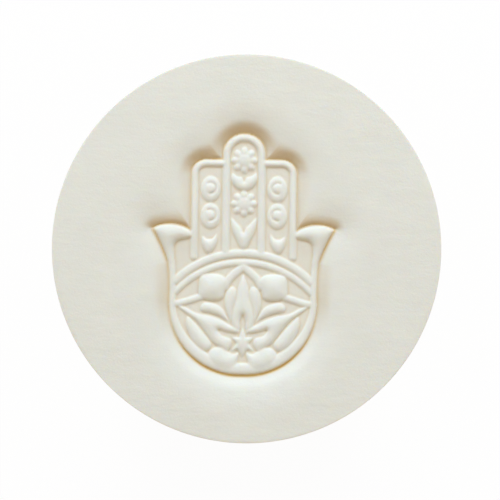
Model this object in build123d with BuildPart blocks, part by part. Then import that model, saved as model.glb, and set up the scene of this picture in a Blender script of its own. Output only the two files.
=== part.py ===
from build123d import *
from math import acos, cos, degrees, radians, sin, tan
import os

# A round hand stamp that stands face up on its knob. A clay disc with a sunk hand ornament is
# bedded on a turned plate, and the plate's threaded stud screws into a turned wooden handle.
# Millimetres. The origin is the middle of the foot, +Z points out of the face, and the
# fingers of the hand point to +Y.

# Clay face
face_radius = 25.0
face_thickness = 5.0
face_edge_radius = 0.35

# Sunk hand: where it lies on the face, how deep, and how its walls lean
palm_radius = 9.5
hand_offset_x = -0.48
hand_offset_y = -6.6
hand_turn = -0.6
field_depth = 1.2
field_gap = 0.15
field_draft = 35.0

# Fingers: halves are from the hand's axis to the middle of the bead, reaches from the palm's centre
side_finger_half = 6.36
side_finger_reach = 17.6
middle_finger_half = 2.28
middle_finger_stem = 0.54
side_finger_foot = 5.4
finger_corner_radius = 1.5
middle_bead = 1.03
side_bead = 0.96
finger_rise = 0.68

# Beads of the palm
rim_bead = 1.06
rim_rise = 0.8
rim_flare_radius = 51.0
rim_flare_angle = 7.0
arch_radius = 12.43
arch_top = 6.0
inner_arch_tightening = 0.5
arch_bead = 0.94
arch_crease = 0.07
arch_rise = 0.74

# Carved ornament
thumb_rise = 0.84
dome_rise = 0.72
leaf_rise = 0.6
bar_rise = 0.5
carving_draft = 20.0
star_point_radius = 1.6
star_waist_radius = 0.72
star_points = 6
rosette_radius = 1.48
rosette_petals = 8
petal_length = 0.95
petal_width = 0.66
petal_rise = 0.42
rosette_centre_radius = 0.6
curl_half_width = 1.0
curl_half_height = 1.4
curl_bead = 0.56
curl_rise = 0.5
curl_dot_radius = 0.6

# Cork bedding and turned plate
cushion_setback = 1.0
cushion_thickness = 1.5
plate_setback = 0.6
plate_thickness = 7.0
plate_round_radius = 3.6
plate_edge_radius = 0.5
pin_radius = 1.1
pin_length = 4.0
pin_proud = 0.3

# Flange, stud and screws
flange_radius = 16.0
flange_thickness = 2.0
flange_edge_radius = 0.4
stud_radius = 3.0
stud_reach = 11.0
stud_chamfer = 0.5
stud_waist_depth = 0.6
stud_waist_length = 1.2
screw_count = 3
screw_margin = 3.7
screw_radius = 1.4
screw_head_radius = 2.75
screw_head_angle = 90.0
screw_length = 6.5
screw_tip_length = 1.6
screw_slot_width = 0.7
screw_slot_depth = 0.6

# Washer
washer_radius = 9.0
washer_thickness = 1.0

# Handle: each height is from the end of the one before, upwards from the foot
foot_radius = 12.0
foot_edge_radius = 0.8
knob_radius = 16.6
knob_height = 10.6
shoulder_radius = 13.4
shoulder_height = 8.4
neck_radius = 8.6
neck_height = 6.0
flare_height = 2.6
ring_stand = 2.3
ring_height = 2.6
tenon_radius = 8.6
tenon_length = 6.0

# Ferrule, its pins and the threaded insert
ferrule_wall = 0.8
ferrule_edge_radius = 0.5
ferrule_pin_radius = 0.8
ferrule_pin_backing = 1.0
ferrule_pin_proud = 0.15
insert_radius = 4.6
insert_floor = 2.0
insert_tip_room = 3.0
insert_lip = 0.9
insert_ridge_height = 0.35
insert_ridge_width = 1.0
insert_ridge_count = 5

# Foot pad
foot_pad_thickness = 1.5

# Clearances
thread_clearance = 0.08
screw_clearance = 0.15
glue_gap = 0.03
bore_relief = 0.5
overrun = 1.0

# Outlines of the right half of the ornament, as shares of the palm's radius from the palm's
# centre. Corners and the middles of the arcs between them take turns, counterclockwise.
thumb_tip_share = (1.24, 0.966)
thumb_back_share = (1.013, 1.034)
thumb_root_share = 0.952
thumb_side_share = (1.122, 0.73)
thumb_foot_share = (1.03, 0.5)
thumb_inside_shares = ((0.928, 0.5), (0.947, 0.6), (0.939, 0.7), (0.878, 0.81), (0.73, 0.85))
big_dome_shares = (
    (0.553, 0.338),
    (0.38, 0.35),
    (0.228, 0.23),
    (0.275, 0.14),
    (0.296, 0.054),
    (0.42, 0.02),
    (0.575, 0.06),
    (0.605, 0.2),
)
inner_leaf_shares = ((0.12, 0.176), (0.135, -0.02), (0.174, -0.25), (0.255, 0.0))
side_leaf_shares = ((0.585, -0.095), (0.36, -0.04), (0.155, -0.3), (0.36, -0.2))
eye_bar_shares = (
    (0.91, -0.02),
    (0.76, 0.045),
    (0.62, 0.08),
    (0.6, 0.04),
    (0.61, 0.0),
    (0.75, -0.035),
    (0.88, -0.095),
    (0.91, -0.06),
)
wing_shares = (
    (0.877, -0.09),
    (0.5, -0.19),
    (0.07, -0.43),
    (0.19, -0.43),
    (0.31, -0.425),
    (0.25, -0.5),
    (0.175, -0.555),
    (0.2, -0.62),
    (0.255, -0.676),
    (0.56, -0.44),
)
lens_leaf_shares = (
    (0.755, -0.215),
    (0.61, -0.385),
    (0.435, -0.595),
    (0.44, -0.65),
    (0.49, -0.685),
    (0.705, -0.48),
)
base_dome_shares = (
    (0.5, -0.72),
    (0.35, -0.62),
    (0.21, -0.75),
    (0.14, -0.745),
    (0.07, -0.7),
    (0.05, -0.8),
    (0.07, -0.917),
    (0.3, -0.87),
)
small_tulip_shares = (
    (0.472, 0.635),
    (0.545, 0.74),
    (0.553, 0.865),
    (0.5, 0.84),
    (0.458, 0.811),
    (0.4, 0.87),
    (0.336, 0.932),
    (0.36, 0.77),
)

# Right halves of the pieces of ornament that lie on the hand's axis, from bottom to top
lotus_band_shares = (
    (0.0, 0.41),
    (0.1, 0.32),
    (0.21, 0.25),
    (0.25, 0.29),
    (0.26, 0.345),
    (0.1, 0.44),
    (0.0, 0.53),
)
petal_shares = ((0.0, -0.185), (0.065, -0.235), (0.118, -0.16), (0.1, 0.06), (0.0, 0.33))
base_drop_shares = ((0.0, -0.95), (0.095, -0.905), (0.0, -0.86))
upper_tulip_shares = ((0.0, 1.5), (0.12, 1.58), (0.175, 1.73), (0.07, 1.7), (0.0, 1.66))
lower_tulip_shares = ((0.0, 0.689), (0.11, 0.869), (0.16, 1.109), (0.05, 1.02), (0.0, 0.973))

# Centres on the hand's axis, and of the curls beside it
star_centre_share = -0.595
rosette_centre_shares = (1.892, 1.311)
curl_across_share = 0.446
curl_centre_shares = (1.527, 1.162)

# Heights, from the surface that the stamp stands on
grip_bottom = foot_pad_thickness
knob_middle = grip_bottom + knob_height
shoulder_top = knob_middle + shoulder_height
neck_middle = shoulder_top + neck_height
ring_bottom = neck_middle + flare_height
tenon_bottom = ring_bottom + ring_height
grip_top = tenon_bottom + tenon_length
ferrule_top = grip_top + ferrule_wall
washer_top = ferrule_top + washer_thickness
flange_top = washer_top + flange_thickness
plate_top = flange_top + plate_thickness
cushion_top = plate_top + cushion_thickness
face_top = cushion_top + face_thickness
field_floor = face_top - field_depth

# Sizes that follow from the ones above
side_outer = side_finger_half + side_bead / 2
side_top = side_finger_reach + side_bead / 2
corner_outer_radius = finger_corner_radius + side_bead / 2
middle_outer = middle_finger_half + middle_bead / 2
middle_tip_centre = side_top + middle_finger_stem
corner_centre = (side_finger_half - finger_corner_radius, side_finger_reach - finger_corner_radius)
thumb_root = (side_outer, palm_radius * thumb_root_share)
rim_path_radius = palm_radius - rim_bead / 2
arch_centre = arch_top - arch_radius
inner_arch_radius = arch_radius - inner_arch_tightening
inner_arch_centre = arch_top - arch_bead - arch_crease - inner_arch_radius
cushion_radius = face_radius - cushion_setback
plate_radius = face_radius - plate_setback
screw_circle_radius = flange_radius - screw_margin
ring_radius = tenon_radius + ring_stand
ring_side = ring_radius - ring_height / 2
ferrule_radius = tenon_radius + glue_gap + ferrule_wall
insert_bore_length = stud_reach - washer_thickness + insert_tip_room
insert_length = insert_bore_length + insert_floor
insert_flange_radius = insert_radius + insert_lip
bore_radius = insert_radius + insert_ridge_height + glue_gap
pin_height = flange_top + (plate_round_radius + plate_thickness - plate_edge_radius) / 2
ferrule_pin_start = bore_radius + ferrule_pin_backing
ferrule_pin_length = ferrule_radius + ferrule_pin_proud - ferrule_pin_start
ferrule_pin_height = tenon_bottom + tenon_length / 2


def hand_plane(height):
    """Plane of the hand at a height over the floor of the sunk field, turned as the hand is."""
    turn = radians(hand_turn)
    return Plane(
        origin=(hand_offset_x, hand_offset_y, field_floor + height),
        x_dir=(cos(turn), sin(turn), 0),
    )


def spot(share):
    """Point at a share of the palm's radius from the palm's centre."""
    return (palm_radius * share[0], palm_radius * share[1])


def arcs(shares):
    """Row of arcs from corner to corner, each through the middle point between them."""
    points = [spot(share) for share in shares]
    for start, middle, end in zip(points[0::2], points[1::2], points[2::2]):
        ThreePointArc(start, middle, end)


def bead_plane(bead, rise):
    """Plane of a round bead's middle, so that the bead stands up by its rise."""
    return hand_plane(rise - bead / 2)


def ferrule_pin_plane(side):
    """Plane at the inner end of the left or right ferrule pin, facing out."""
    return Plane(origin=(side * ferrule_pin_start, 0, ferrule_pin_height), z_dir=(side, 0, 0))


# Middle lines of the round beads
with BuildLine(bead_plane(rim_bead, rim_rise)) as rim_line:
    CenterArc((-rim_path_radius - rim_flare_radius, 0), rim_flare_radius, 0, rim_flare_angle)
    CenterArc((0, 0), rim_path_radius, 180, 180)
    CenterArc((rim_path_radius + rim_flare_radius, 0), rim_flare_radius, 180, -rim_flare_angle)

with BuildLine(bead_plane(middle_bead, finger_rise)) as middle_line:
    Line((-middle_finger_half, arch_top), (-middle_finger_half, middle_tip_centre))
    CenterArc((0, middle_tip_centre), middle_finger_half, 180, -180)
    Line((middle_finger_half, middle_tip_centre), (middle_finger_half, arch_top))

with BuildLine(bead_plane(side_bead, finger_rise)) as right_line:
    FilletPolyline(
        (side_finger_half, side_finger_foot),
        (side_finger_half, side_finger_reach),
        (middle_finger_half, side_finger_reach),
        radius=finger_corner_radius,
    )

with BuildLine(bead_plane(side_bead, finger_rise)) as left_line:
    FilletPolyline(
        (-side_finger_half, side_finger_foot),
        (-side_finger_half, side_finger_reach),
        (-middle_finger_half, side_finger_reach),
        radius=finger_corner_radius,
    )

arch_end = degrees(acos(rim_path_radius / arch_radius))
with BuildLine(bead_plane(arch_bead, arch_rise)) as arch_line:
    CenterArc((0, arch_centre), arch_radius, arch_end, 180 - 2 * arch_end)

inner_arch_end = degrees(acos(rim_path_radius / inner_arch_radius))
with BuildLine(bead_plane(arch_bead, arch_rise)) as inner_arch_line:
    CenterArc((0, inner_arch_centre), inner_arch_radius, inner_arch_end, 180 - 2 * inner_arch_end)

beads = [
    (rim_line, rim_bead),
    (middle_line, middle_bead),
    (right_line, side_bead),
    (left_line, side_bead),
    (arch_line, arch_bead),
    (inner_arch_line, arch_bead),
]

# Carved outlines with their rises: pairs left and right of the axis, and single ones on it
paired_carvings = [
    (big_dome_shares, dome_rise),
    (inner_leaf_shares, leaf_rise),
    (side_leaf_shares, leaf_rise),
    (eye_bar_shares, bar_rise),
    (wing_shares, leaf_rise),
    (lens_leaf_shares, leaf_rise),
    (base_dome_shares, dome_rise),
    (small_tulip_shares, bar_rise),
]
axis_carvings = [
    (lotus_band_shares, leaf_rise),
    (petal_shares, dome_rise),
    (base_drop_shares, thumb_rise),
    (upper_tulip_shares, bar_rise),
    (lower_tulip_shares, bar_rise),
]

os.makedirs("parts", exist_ok=True)

# Stamp face: a clay disc with the sunk hand
with BuildPart() as stamp_face:
    with BuildSketch(Plane.XY.offset(cushion_top)):
        Circle(face_radius)
    extrude(amount=face_thickness)
    fillet(stamp_face.edges().group_by(Axis.Z)[-1], face_edge_radius)

    # Sunk field: the outline of palm, thumbs and fingers, widening towards the face
    with BuildSketch(hand_plane(0)):
        with BuildLine():
            CenterArc((0, 0), palm_radius, -90, 90)
            Line((palm_radius, 0), spot(thumb_foot_share))
            ThreePointArc(spot(thumb_foot_share), spot(thumb_side_share), spot(thumb_tip_share))
            ThreePointArc(spot(thumb_tip_share), spot(thumb_back_share), thumb_root)
            Line(thumb_root, (side_outer, corner_centre[1]))
            CenterArc(corner_centre, corner_outer_radius, 0, 90)
            Line((corner_centre[0], side_top), (middle_outer, side_top))
            Line((middle_outer, side_top), (middle_outer, middle_tip_centre))
            CenterArc((0, middle_tip_centre), middle_outer, 0, 90)
            mirror(about=Plane.YZ)
        make_face()
        offset(amount=field_gap, kind=Kind.ARC)
    extrude(amount=field_depth + overrun, taper=-field_draft, mode=Mode.SUBTRACT)

    # Round beads
    for line, bead in beads:
        path = line.wires()[0]
        with BuildSketch(Plane(origin=path @ 0, z_dir=path % 0)):
            Circle(bead / 2)
        sweep(path=path)
    foot_plane = bead_plane(side_bead, finger_rise)
    with Locations(
        foot_plane * Location((side_finger_half, side_finger_foot)),
        foot_plane * Location((-side_finger_half, side_finger_foot)),
    ):
        Sphere(side_bead / 2)

    # Thumbs
    with BuildSketch(hand_plane(0)):
        with BuildLine():
            Line(spot(thumb_inside_shares[0]), spot(thumb_foot_share))
            ThreePointArc(spot(thumb_foot_share), spot(thumb_side_share), spot(thumb_tip_share))
            ThreePointArc(spot(thumb_tip_share), spot(thumb_back_share), thumb_root)
            Line(thumb_root, spot(thumb_inside_shares[-1]))
            arcs(thumb_inside_shares)
        make_face()
        mirror(about=Plane.YZ)
    extrude(amount=thumb_rise, taper=carving_draft)

    # Leaves, domes and bars beside the axis
    for shares, rise in paired_carvings:
        with BuildSketch(hand_plane(0)):
            with BuildLine():
                arcs(shares + shares[:1])
            make_face()
            mirror(about=Plane.YZ)
        extrude(amount=rise, taper=carving_draft)

    # Petals and tulips on the axis
    for shares, rise in axis_carvings:
        with BuildSketch(hand_plane(0)):
            with BuildLine():
                arcs(shares)
                mirror(about=Plane.YZ)
            make_face()
        extrude(amount=rise, taper=carving_draft)

    # Star in the palm
    with BuildSketch(hand_plane(0)):
        with BuildLine():
            corner_count = 2 * star_points
            star_corners = []
            for corner in range(corner_count):
                reach = star_waist_radius if corner % 2 else star_point_radius
                turn = radians(90 + corner * 360 / corner_count)
                star_corners.append((reach * cos(turn), palm_radius * star_centre_share + reach * sin(turn)))
            Polyline(star_corners, close=True)
        make_face()
    extrude(amount=leaf_rise, taper=carving_draft)

    # Rosettes in the middle finger
    for share in rosette_centre_shares:
        centre = Location((0, palm_radius * share))
        with BuildSketch(hand_plane(0)):
            with Locations(centre):
                with PolarLocations(rosette_radius, rosette_petals):
                    SlotOverall(petal_length, petal_width)
        extrude(amount=petal_rise, taper=carving_draft)
        with Locations(hand_plane(0) * centre):
            Sphere(rosette_centre_radius)

    # Curls in the side fingers: a ring with a dot
    for side in (-1, 1):
        for share in curl_centre_shares:
            across = side * palm_radius * curl_across_share
            along = palm_radius * share
            bend = curl_half_height - curl_half_width
            with BuildLine(bead_plane(curl_bead, curl_rise)) as curl_line:
                Line((across + curl_half_width, along - bend), (across + curl_half_width, along + bend))
                CenterArc((across, along + bend), curl_half_width, 0, 180)
                Line((across - curl_half_width, along + bend), (across - curl_half_width, along - bend))
                CenterArc((across, along - bend), curl_half_width, 180, 180)
            path = curl_line.wires()[0]
            with BuildSketch(Plane(origin=path @ 0, z_dir=path % 0)):
                Circle(curl_bead / 2)
            sweep(path=path)
            with Locations(hand_plane(0) * Location((across, along))):
                Sphere(curl_dot_radius)

stamp_face.part.label = "stamp_face"
export_step(stamp_face.part, "parts/stamp_face.step")

# Bond cushion: cork sheet between the clay and the plate
with BuildPart() as bond_cushion:
    with BuildSketch(Plane.XY.offset(plate_top)):
        Circle(cushion_radius)
    extrude(amount=cushion_thickness)
bond_cushion.part.label = "bond_cushion"
export_step(bond_cushion.part, "parts/bond_cushion.step")

# Mount plate: turned, with pilot holes for the flange screws and a hole for the index pin
with BuildPart() as mount_plate:
    with BuildSketch(Plane.XY.offset(flange_top)):
        Circle(plate_radius)
    extrude(amount=plate_thickness)
    fillet(mount_plate.edges().group_by(Axis.Z)[0], plate_round_radius)
    fillet(mount_plate.edges().group_by(Axis.Z)[-1], plate_edge_radius)
    with BuildSketch(Plane.XY.offset(flange_top)):
        with PolarLocations(screw_circle_radius, screw_count, start_angle=90):
            Circle(screw_radius + glue_gap)
    extrude(amount=screw_length - flange_thickness + glue_gap, mode=Mode.SUBTRACT)
    with BuildSketch(Plane(origin=(0, plate_radius - pin_length, pin_height), z_dir=(0, 1, 0))):
        Circle(pin_radius + glue_gap)
    extrude(amount=pin_length + overrun, mode=Mode.SUBTRACT)
mount_plate.part.label = "mount_plate"
export_step(mount_plate.part, "parts/mount_plate.step")

# Index pin: shows on the rim which way the fingers point
with BuildPart() as index_pin:
    with BuildSketch(Plane(origin=(0, plate_radius - pin_length, pin_height), z_dir=(0, 1, 0))):
        Circle(pin_radius)
    extrude(amount=pin_length + pin_proud)
    fillet(index_pin.edges().group_by(Axis.Y)[-1], pin_proud)
index_pin.part.label = "index_pin"
export_step(index_pin.part, "parts/index_pin.step")

# Stud flange: brass disc under the plate
with BuildPart() as stud_flange:
    with BuildSketch(Plane.XY.offset(washer_top)):
        Circle(flange_radius)
        Circle(stud_radius + glue_gap, mode=Mode.SUBTRACT)
    extrude(amount=flange_thickness)
    rims = stud_flange.edges().filter_by(GeomType.CIRCLE).group_by(SortBy.RADIUS)[-1]
    fillet(rims.sort_by(Axis.Z)[0], flange_edge_radius)
    with Locations(Plane(origin=(0, 0, washer_top), x_dir=(1, 0, 0), z_dir=(0, 0, -1))):
        with PolarLocations(screw_circle_radius, screw_count, start_angle=-90):
            CounterSinkHole(
                radius=screw_radius + screw_clearance,
                counter_sink_radius=screw_head_radius + screw_clearance,
                depth=flange_thickness,
                counter_sink_angle=screw_head_angle,
            )
stud_flange.part.label = "stud_flange"
export_step(stud_flange.part, "parts/stud_flange.step")

# Flange screws: slotted, countersunk, driven from below
with BuildPart() as screw:
    with BuildSketch(Plane.XZ):
        with BuildLine():
            head_height = (screw_head_radius - screw_radius) / tan(radians(screw_head_angle / 2))
            Polyline(
                (0, 0),
                (screw_head_radius, 0),
                (screw_radius, head_height),
                (screw_radius, screw_length - screw_tip_length),
                (0, screw_length),
                close=True,
            )
        make_face()
    revolve(axis=Axis.Z)
    with BuildSketch(Plane.XY):
        Rectangle(2 * screw_head_radius, screw_slot_width)
    extrude(amount=screw_slot_depth, mode=Mode.SUBTRACT)

with BuildPart() as flange_screws:
    with Locations(Location((0, 0, washer_top))):
        with PolarLocations(screw_circle_radius, screw_count, start_angle=90):
            add(screw.part)
flange_screws.part.label = "flange_screws"
export_step(flange_screws.part, "parts/flange_screws.step")

# Head stud: brass, let into the flange, with a short waist under it
with BuildPart() as head_stud:
    with BuildSketch(Plane.XZ):
        with BuildLine():
            stud_tip = washer_top - stud_reach
            waist_bottom = washer_top - stud_waist_length
            Polyline(
                (0, stud_tip),
                (stud_radius - stud_chamfer, stud_tip),
                (stud_radius, stud_tip + stud_chamfer),
                (stud_radius, waist_bottom - stud_chamfer),
                (stud_radius - stud_waist_depth, waist_bottom),
                (stud_radius - stud_waist_depth, washer_top),
                (stud_radius, washer_top),
                (stud_radius, flange_top),
                (0, flange_top),
                close=True,
            )
        make_face()
    revolve(axis=Axis.Z)
head_stud.part.label = "head_stud"
export_step(head_stud.part, "parts/head_stud.step")

# Thrust washer: fibre, between the ferrule and the flange
with BuildPart() as thrust_washer:
    with BuildSketch(Plane.XY.offset(ferrule_top)):
        Circle(washer_radius)
        Circle(stud_radius + screw_clearance, mode=Mode.SUBTRACT)
    extrude(amount=washer_thickness)
thrust_washer.part.label = "thrust_washer"
export_step(thrust_washer.part, "parts/thrust_washer.step")

# Handle grip: turned in one piece, with a knob for the palm, a neck, a ring and a tenon
with BuildPart() as handle_grip:
    with BuildSketch(Plane.XZ):
        with BuildLine():
            foot = (foot_radius, grip_bottom)
            shoulder = (shoulder_radius, shoulder_top)
            neck = (neck_radius, neck_middle)
            ring_start = (ring_side, ring_bottom)
            ring_end = (ring_side, tenon_bottom)
            Line((0, grip_bottom), foot)
            knob = ThreePointArc(foot, (knob_radius, knob_middle), shoulder)
            Spline(shoulder, neck, tangents=(knob % 1, (0, 1)))
            Spline(neck, ring_start, tangents=((0, 1), (1, 1)))
            ThreePointArc(ring_start, (ring_radius, ring_bottom + ring_height / 2), ring_end)
            Polyline(ring_end, (tenon_radius, tenon_bottom), (tenon_radius, grip_top), (0, grip_top))
            Line((0, grip_top), (0, grip_bottom))
        make_face()
    revolve(axis=Axis.Z)
    fillet(handle_grip.edges().group_by(Axis.Z)[0], foot_edge_radius)
    with BuildSketch(Plane.XY.offset(grip_top)):
        Circle(bore_radius)
    extrude(amount=-(insert_length - ferrule_wall + bore_relief), mode=Mode.SUBTRACT)
    for side in (-1, 1):
        with BuildSketch(ferrule_pin_plane(side)):
            Circle(ferrule_pin_radius + glue_gap)
        extrude(amount=ferrule_pin_length, mode=Mode.SUBTRACT)
handle_grip.part.label = "handle_grip"
export_step(handle_grip.part, "parts/handle_grip.step")

# Ferrule: brass cup pressed over the tenon, with a mouth for the insert
with BuildPart() as ferrule:
    with BuildSketch(Plane.XY.offset(tenon_bottom)):
        Circle(ferrule_radius)
    extrude(amount=tenon_length + ferrule_wall)
    fillet(ferrule.edges().group_by(Axis.Z)[-1], ferrule_edge_radius)
    with BuildSketch(Plane.XY.offset(tenon_bottom)):
        Circle(tenon_radius + glue_gap)
    extrude(amount=tenon_length, mode=Mode.SUBTRACT)
    with BuildSketch(Plane.XY.offset(grip_top)):
        Circle(insert_flange_radius + glue_gap)
    extrude(amount=ferrule_wall, mode=Mode.SUBTRACT)
    for side in (-1, 1):
        with BuildSketch(ferrule_pin_plane(side)):
            Circle(ferrule_pin_radius + glue_gap)
        extrude(amount=ferrule_pin_length + overrun, mode=Mode.SUBTRACT)
ferrule.part.label = "ferrule"
export_step(ferrule.part, "parts/ferrule.step")

# Ferrule pins: driven through the ferrule into the tenon from both sides
with BuildPart() as ferrule_pins:
    for side in (-1, 1):
        with BuildSketch(ferrule_pin_plane(side)):
            Circle(ferrule_pin_radius)
        extrude(amount=ferrule_pin_length)
ferrule_pins.part.label = "ferrule_pins"
export_step(ferrule_pins.part, "parts/ferrule_pins.step")

# Threaded insert: ridged on the outside to hold in the wood, flush with the ferrule
with BuildPart() as threaded_insert:
    with BuildSketch(Plane.XY.offset(ferrule_top)):
        Circle(insert_radius)
    extrude(amount=-insert_length)
    with BuildSketch(Plane.XY.offset(ferrule_top)):
        Circle(insert_flange_radius)
    extrude(amount=-ferrule_wall)
    ridge_pitch = (insert_length - ferrule_wall) / insert_ridge_count
    for row in range(insert_ridge_count):
        with BuildSketch(Plane.XY.offset(ferrule_top - insert_length + row * ridge_pitch)):
            Circle(insert_radius + insert_ridge_height)
        extrude(amount=insert_ridge_width)
    with BuildSketch(Plane.XY.offset(ferrule_top)):
        Circle(stud_radius + thread_clearance)
    extrude(amount=-insert_bore_length, mode=Mode.SUBTRACT)
threaded_insert.part.label = "threaded_insert"
export_step(threaded_insert.part, "parts/threaded_insert.step")

# Foot pad: felt disc that the stamp stands on
with BuildPart() as foot_pad:
    with BuildSketch(Plane.XY):
        Circle(foot_radius - foot_edge_radius)
    extrude(amount=foot_pad_thickness)
foot_pad.part.label = "foot_pad"
export_step(foot_pad.part, "parts/foot_pad.step")
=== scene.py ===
"""Looks of a round hand stamp: a pressed clay face on a turned beech head and handle.

The CAD model gives every place and size; this script replaces or dresses its nodes.
Lengths are millimetres until a mesh is written, which turns them into metres.
"""

import logging
import math
from dataclasses import dataclass, field
from enum import Enum
from typing import Any, Dict, List, Sequence, Tuple, Union

import bpy
import numpy as np
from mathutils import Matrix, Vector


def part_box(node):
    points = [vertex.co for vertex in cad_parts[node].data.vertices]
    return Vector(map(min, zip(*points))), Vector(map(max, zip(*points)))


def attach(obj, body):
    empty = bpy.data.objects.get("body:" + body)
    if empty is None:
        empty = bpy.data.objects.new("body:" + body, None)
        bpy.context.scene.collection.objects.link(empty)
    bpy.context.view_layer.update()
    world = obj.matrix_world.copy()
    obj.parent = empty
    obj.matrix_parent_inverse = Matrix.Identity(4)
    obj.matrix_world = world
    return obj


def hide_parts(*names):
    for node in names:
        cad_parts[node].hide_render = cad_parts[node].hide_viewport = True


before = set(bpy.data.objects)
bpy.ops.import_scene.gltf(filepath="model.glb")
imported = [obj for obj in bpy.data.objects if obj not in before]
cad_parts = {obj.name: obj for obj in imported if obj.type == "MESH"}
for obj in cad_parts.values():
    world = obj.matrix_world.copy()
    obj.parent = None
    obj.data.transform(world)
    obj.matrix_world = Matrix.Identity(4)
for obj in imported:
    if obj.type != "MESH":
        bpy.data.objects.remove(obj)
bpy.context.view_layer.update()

MM = 0.001
PER_MM = 1.0 / MM
FULL_TURN = 2.0 * math.pi
QUARTER_TURN = math.pi / 2.0
TINY = 1e-9
NEAR_ZERO = 1e-6

log = logging.getLogger("clay_stamp")

Point = Tuple[float, float]
Corner = Tuple[float, float, float]
Shares = Sequence[Point]
Colour = Tuple[float, float, float, float]


class Body(Enum):
    """The three bodies that the joints move against each other."""

    HANDLE = "handle"
    WASHER = "washer"
    HEAD = "head"


class Grain(Enum):
    """The way the wood's fibres run."""

    UP = "up"
    ACROSS = "across"


# Shared geometry


@dataclass(frozen=True)
class Span:
    """Radius, bottom and top of a CAD node, in millimetres."""

    radius: float
    bottom: float
    top: float


def span(node: str) -> Span:
    """Reads a node's box from its imported CAD mesh.

    Args:
        node: The CAD node's name.

    Returns:
        Its radius in the face's plane, and its lowest and highest point.
    """
    low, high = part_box(node)
    return Span((high.x - low.x) / 2.0 / MM, low.z / MM, high.z / MM)


@dataclass
class Surface:
    """Points in millimetres, the faces between them and named values at the points."""

    points: np.ndarray
    faces: List[Sequence[int]]
    values: Dict[str, np.ndarray] = field(default_factory=dict)


def quads(index: np.ndarray) -> np.ndarray:
    """Lists the quads of a grid of vertex numbers.

    Args:
        index: The grid; its first row or column stands again at the end where it closes.

    Returns:
        One row of four vertex numbers for each quad.
    """
    corners = [index[:-1, :-1], index[:-1, 1:], index[1:, 1:], index[1:, :-1]]
    return np.stack(corners, axis=-1).reshape(-1, 4)


def around(index: np.ndarray) -> np.ndarray:
    """Repeats a grid's first column at its end, so that its rows close into rings."""
    return np.concatenate([index, index[:, :1]], axis=1)


def fan(ring: np.ndarray, pole: int, upward: bool) -> np.ndarray:
    """Closes a ring of vertices with triangles to one pole.

    Args:
        ring: The ring's vertex numbers, counterclockwise from above.
        pole: The number of the vertex in the middle.
        upward: Whether the triangles face up.

    Returns:
        One row of three vertex numbers for each triangle.
    """
    after = np.roll(ring, -1)
    first, second = (ring, after) if upward else (after, ring)
    return np.stack([first, second, np.full(ring.shape, pole)], axis=-1)


def arc_through(start: Point, middle: Point, end: Point, steps: int) -> np.ndarray:
    """Samples the circle through three points, from the first to the last by way of the second.

    Args:
        start: Where the arc starts.
        middle: A point on it.
        end: Where it ends.
        steps: How many straight runs it gets.

    Returns:
        The points from the start up to, and without, the end.
    """
    first, second, third = complex(*start), complex(*middle), complex(*end)
    shares = np.linspace(0.0, 1.0, steps, endpoint=False)
    near, far = second - first, third - first
    area = (near.conjugate() * far).imag
    if abs(area) < NEAR_ZERO * abs(far) ** 2:
        line = first + far * shares
        return np.stack([line.real, line.imag], axis=-1)
    centre = first + (abs(near) ** 2 * far - abs(far) ** 2 * near) * -1j / (2.0 * area)
    swing = float(np.angle((third - centre) / (first - centre)))
    swing = swing % FULL_TURN if area > 0 else swing % -FULL_TURN
    line = centre + (first - centre) * np.exp(1j * swing * shares)
    return np.stack([line.real, line.imag], axis=-1)


def cubic(start: Point, leave: Point, arrive: Point, end: Point, steps: int) -> np.ndarray:
    """Samples a cubic curve with two handles.

    A point is the mean of the four, weighted with the cubic Bernstein shares.

    Args:
        start: Where the curve starts.
        leave: The handle that it leaves towards.
        arrive: The handle that it comes from.
        end: Where it ends.
        steps: How many straight runs it gets.

    Returns:
        The points from the start up to, and without, the end.
    """
    share = np.linspace(0.0, 1.0, steps, endpoint=False)[:, None]
    rest = 1.0 - share
    weights = (rest**3, 3.0 * rest**2 * share, 3.0 * rest * share**2, share**3)
    return sum(w * np.array(p) for w, p in zip(weights, (start, leave, arrive, end)))


def flowing(points: np.ndarray, steps: int = 6) -> np.ndarray:
    """Draws a smooth closed line through points; one given twice in a row stays a corner.

    Each stretch is a cubic between two points. Its end slopes are those of the centripetal
    Catmull-Rom spline, where a stretch takes the root of its length as its time.

    Args:
        points: The line's points, in order.
        steps: How many straight runs each stretch gets.

    Returns:
        The line's points, the first again at the end.
    """
    ahead = np.roll(points, -1, axis=0) - points
    time = np.sqrt(np.hypot(ahead[:, 0], ahead[:, 1]))[:, None]
    before, time_before = np.roll(ahead, 1, axis=0), np.roll(time, 1, axis=0)
    some, some_before = np.maximum(time, TINY), np.maximum(time_before, TINY)
    pace = ahead / some + before / some_before - (ahead + before) / (some + some_before)
    leave = np.where(time_before > NEAR_ZERO, pace * time, ahead)
    arrive = np.roll(np.where(time > NEAR_ZERO, pace * time_before, before), -1, axis=0)
    share = np.linspace(0.0, 1.0, steps, endpoint=False)[:, None, None]
    line = (
        points
        + (3.0 * share**2 - 2.0 * share**3) * ahead
        + (share**3 - 2.0 * share**2 + share) * leave
        + (share**3 - share**2) * arrive
    )
    kept = line.transpose(1, 0, 2)[time[:, 0] > NEAR_ZERO].reshape(-1, 2)
    return np.concatenate([kept, kept[:1]])


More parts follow.
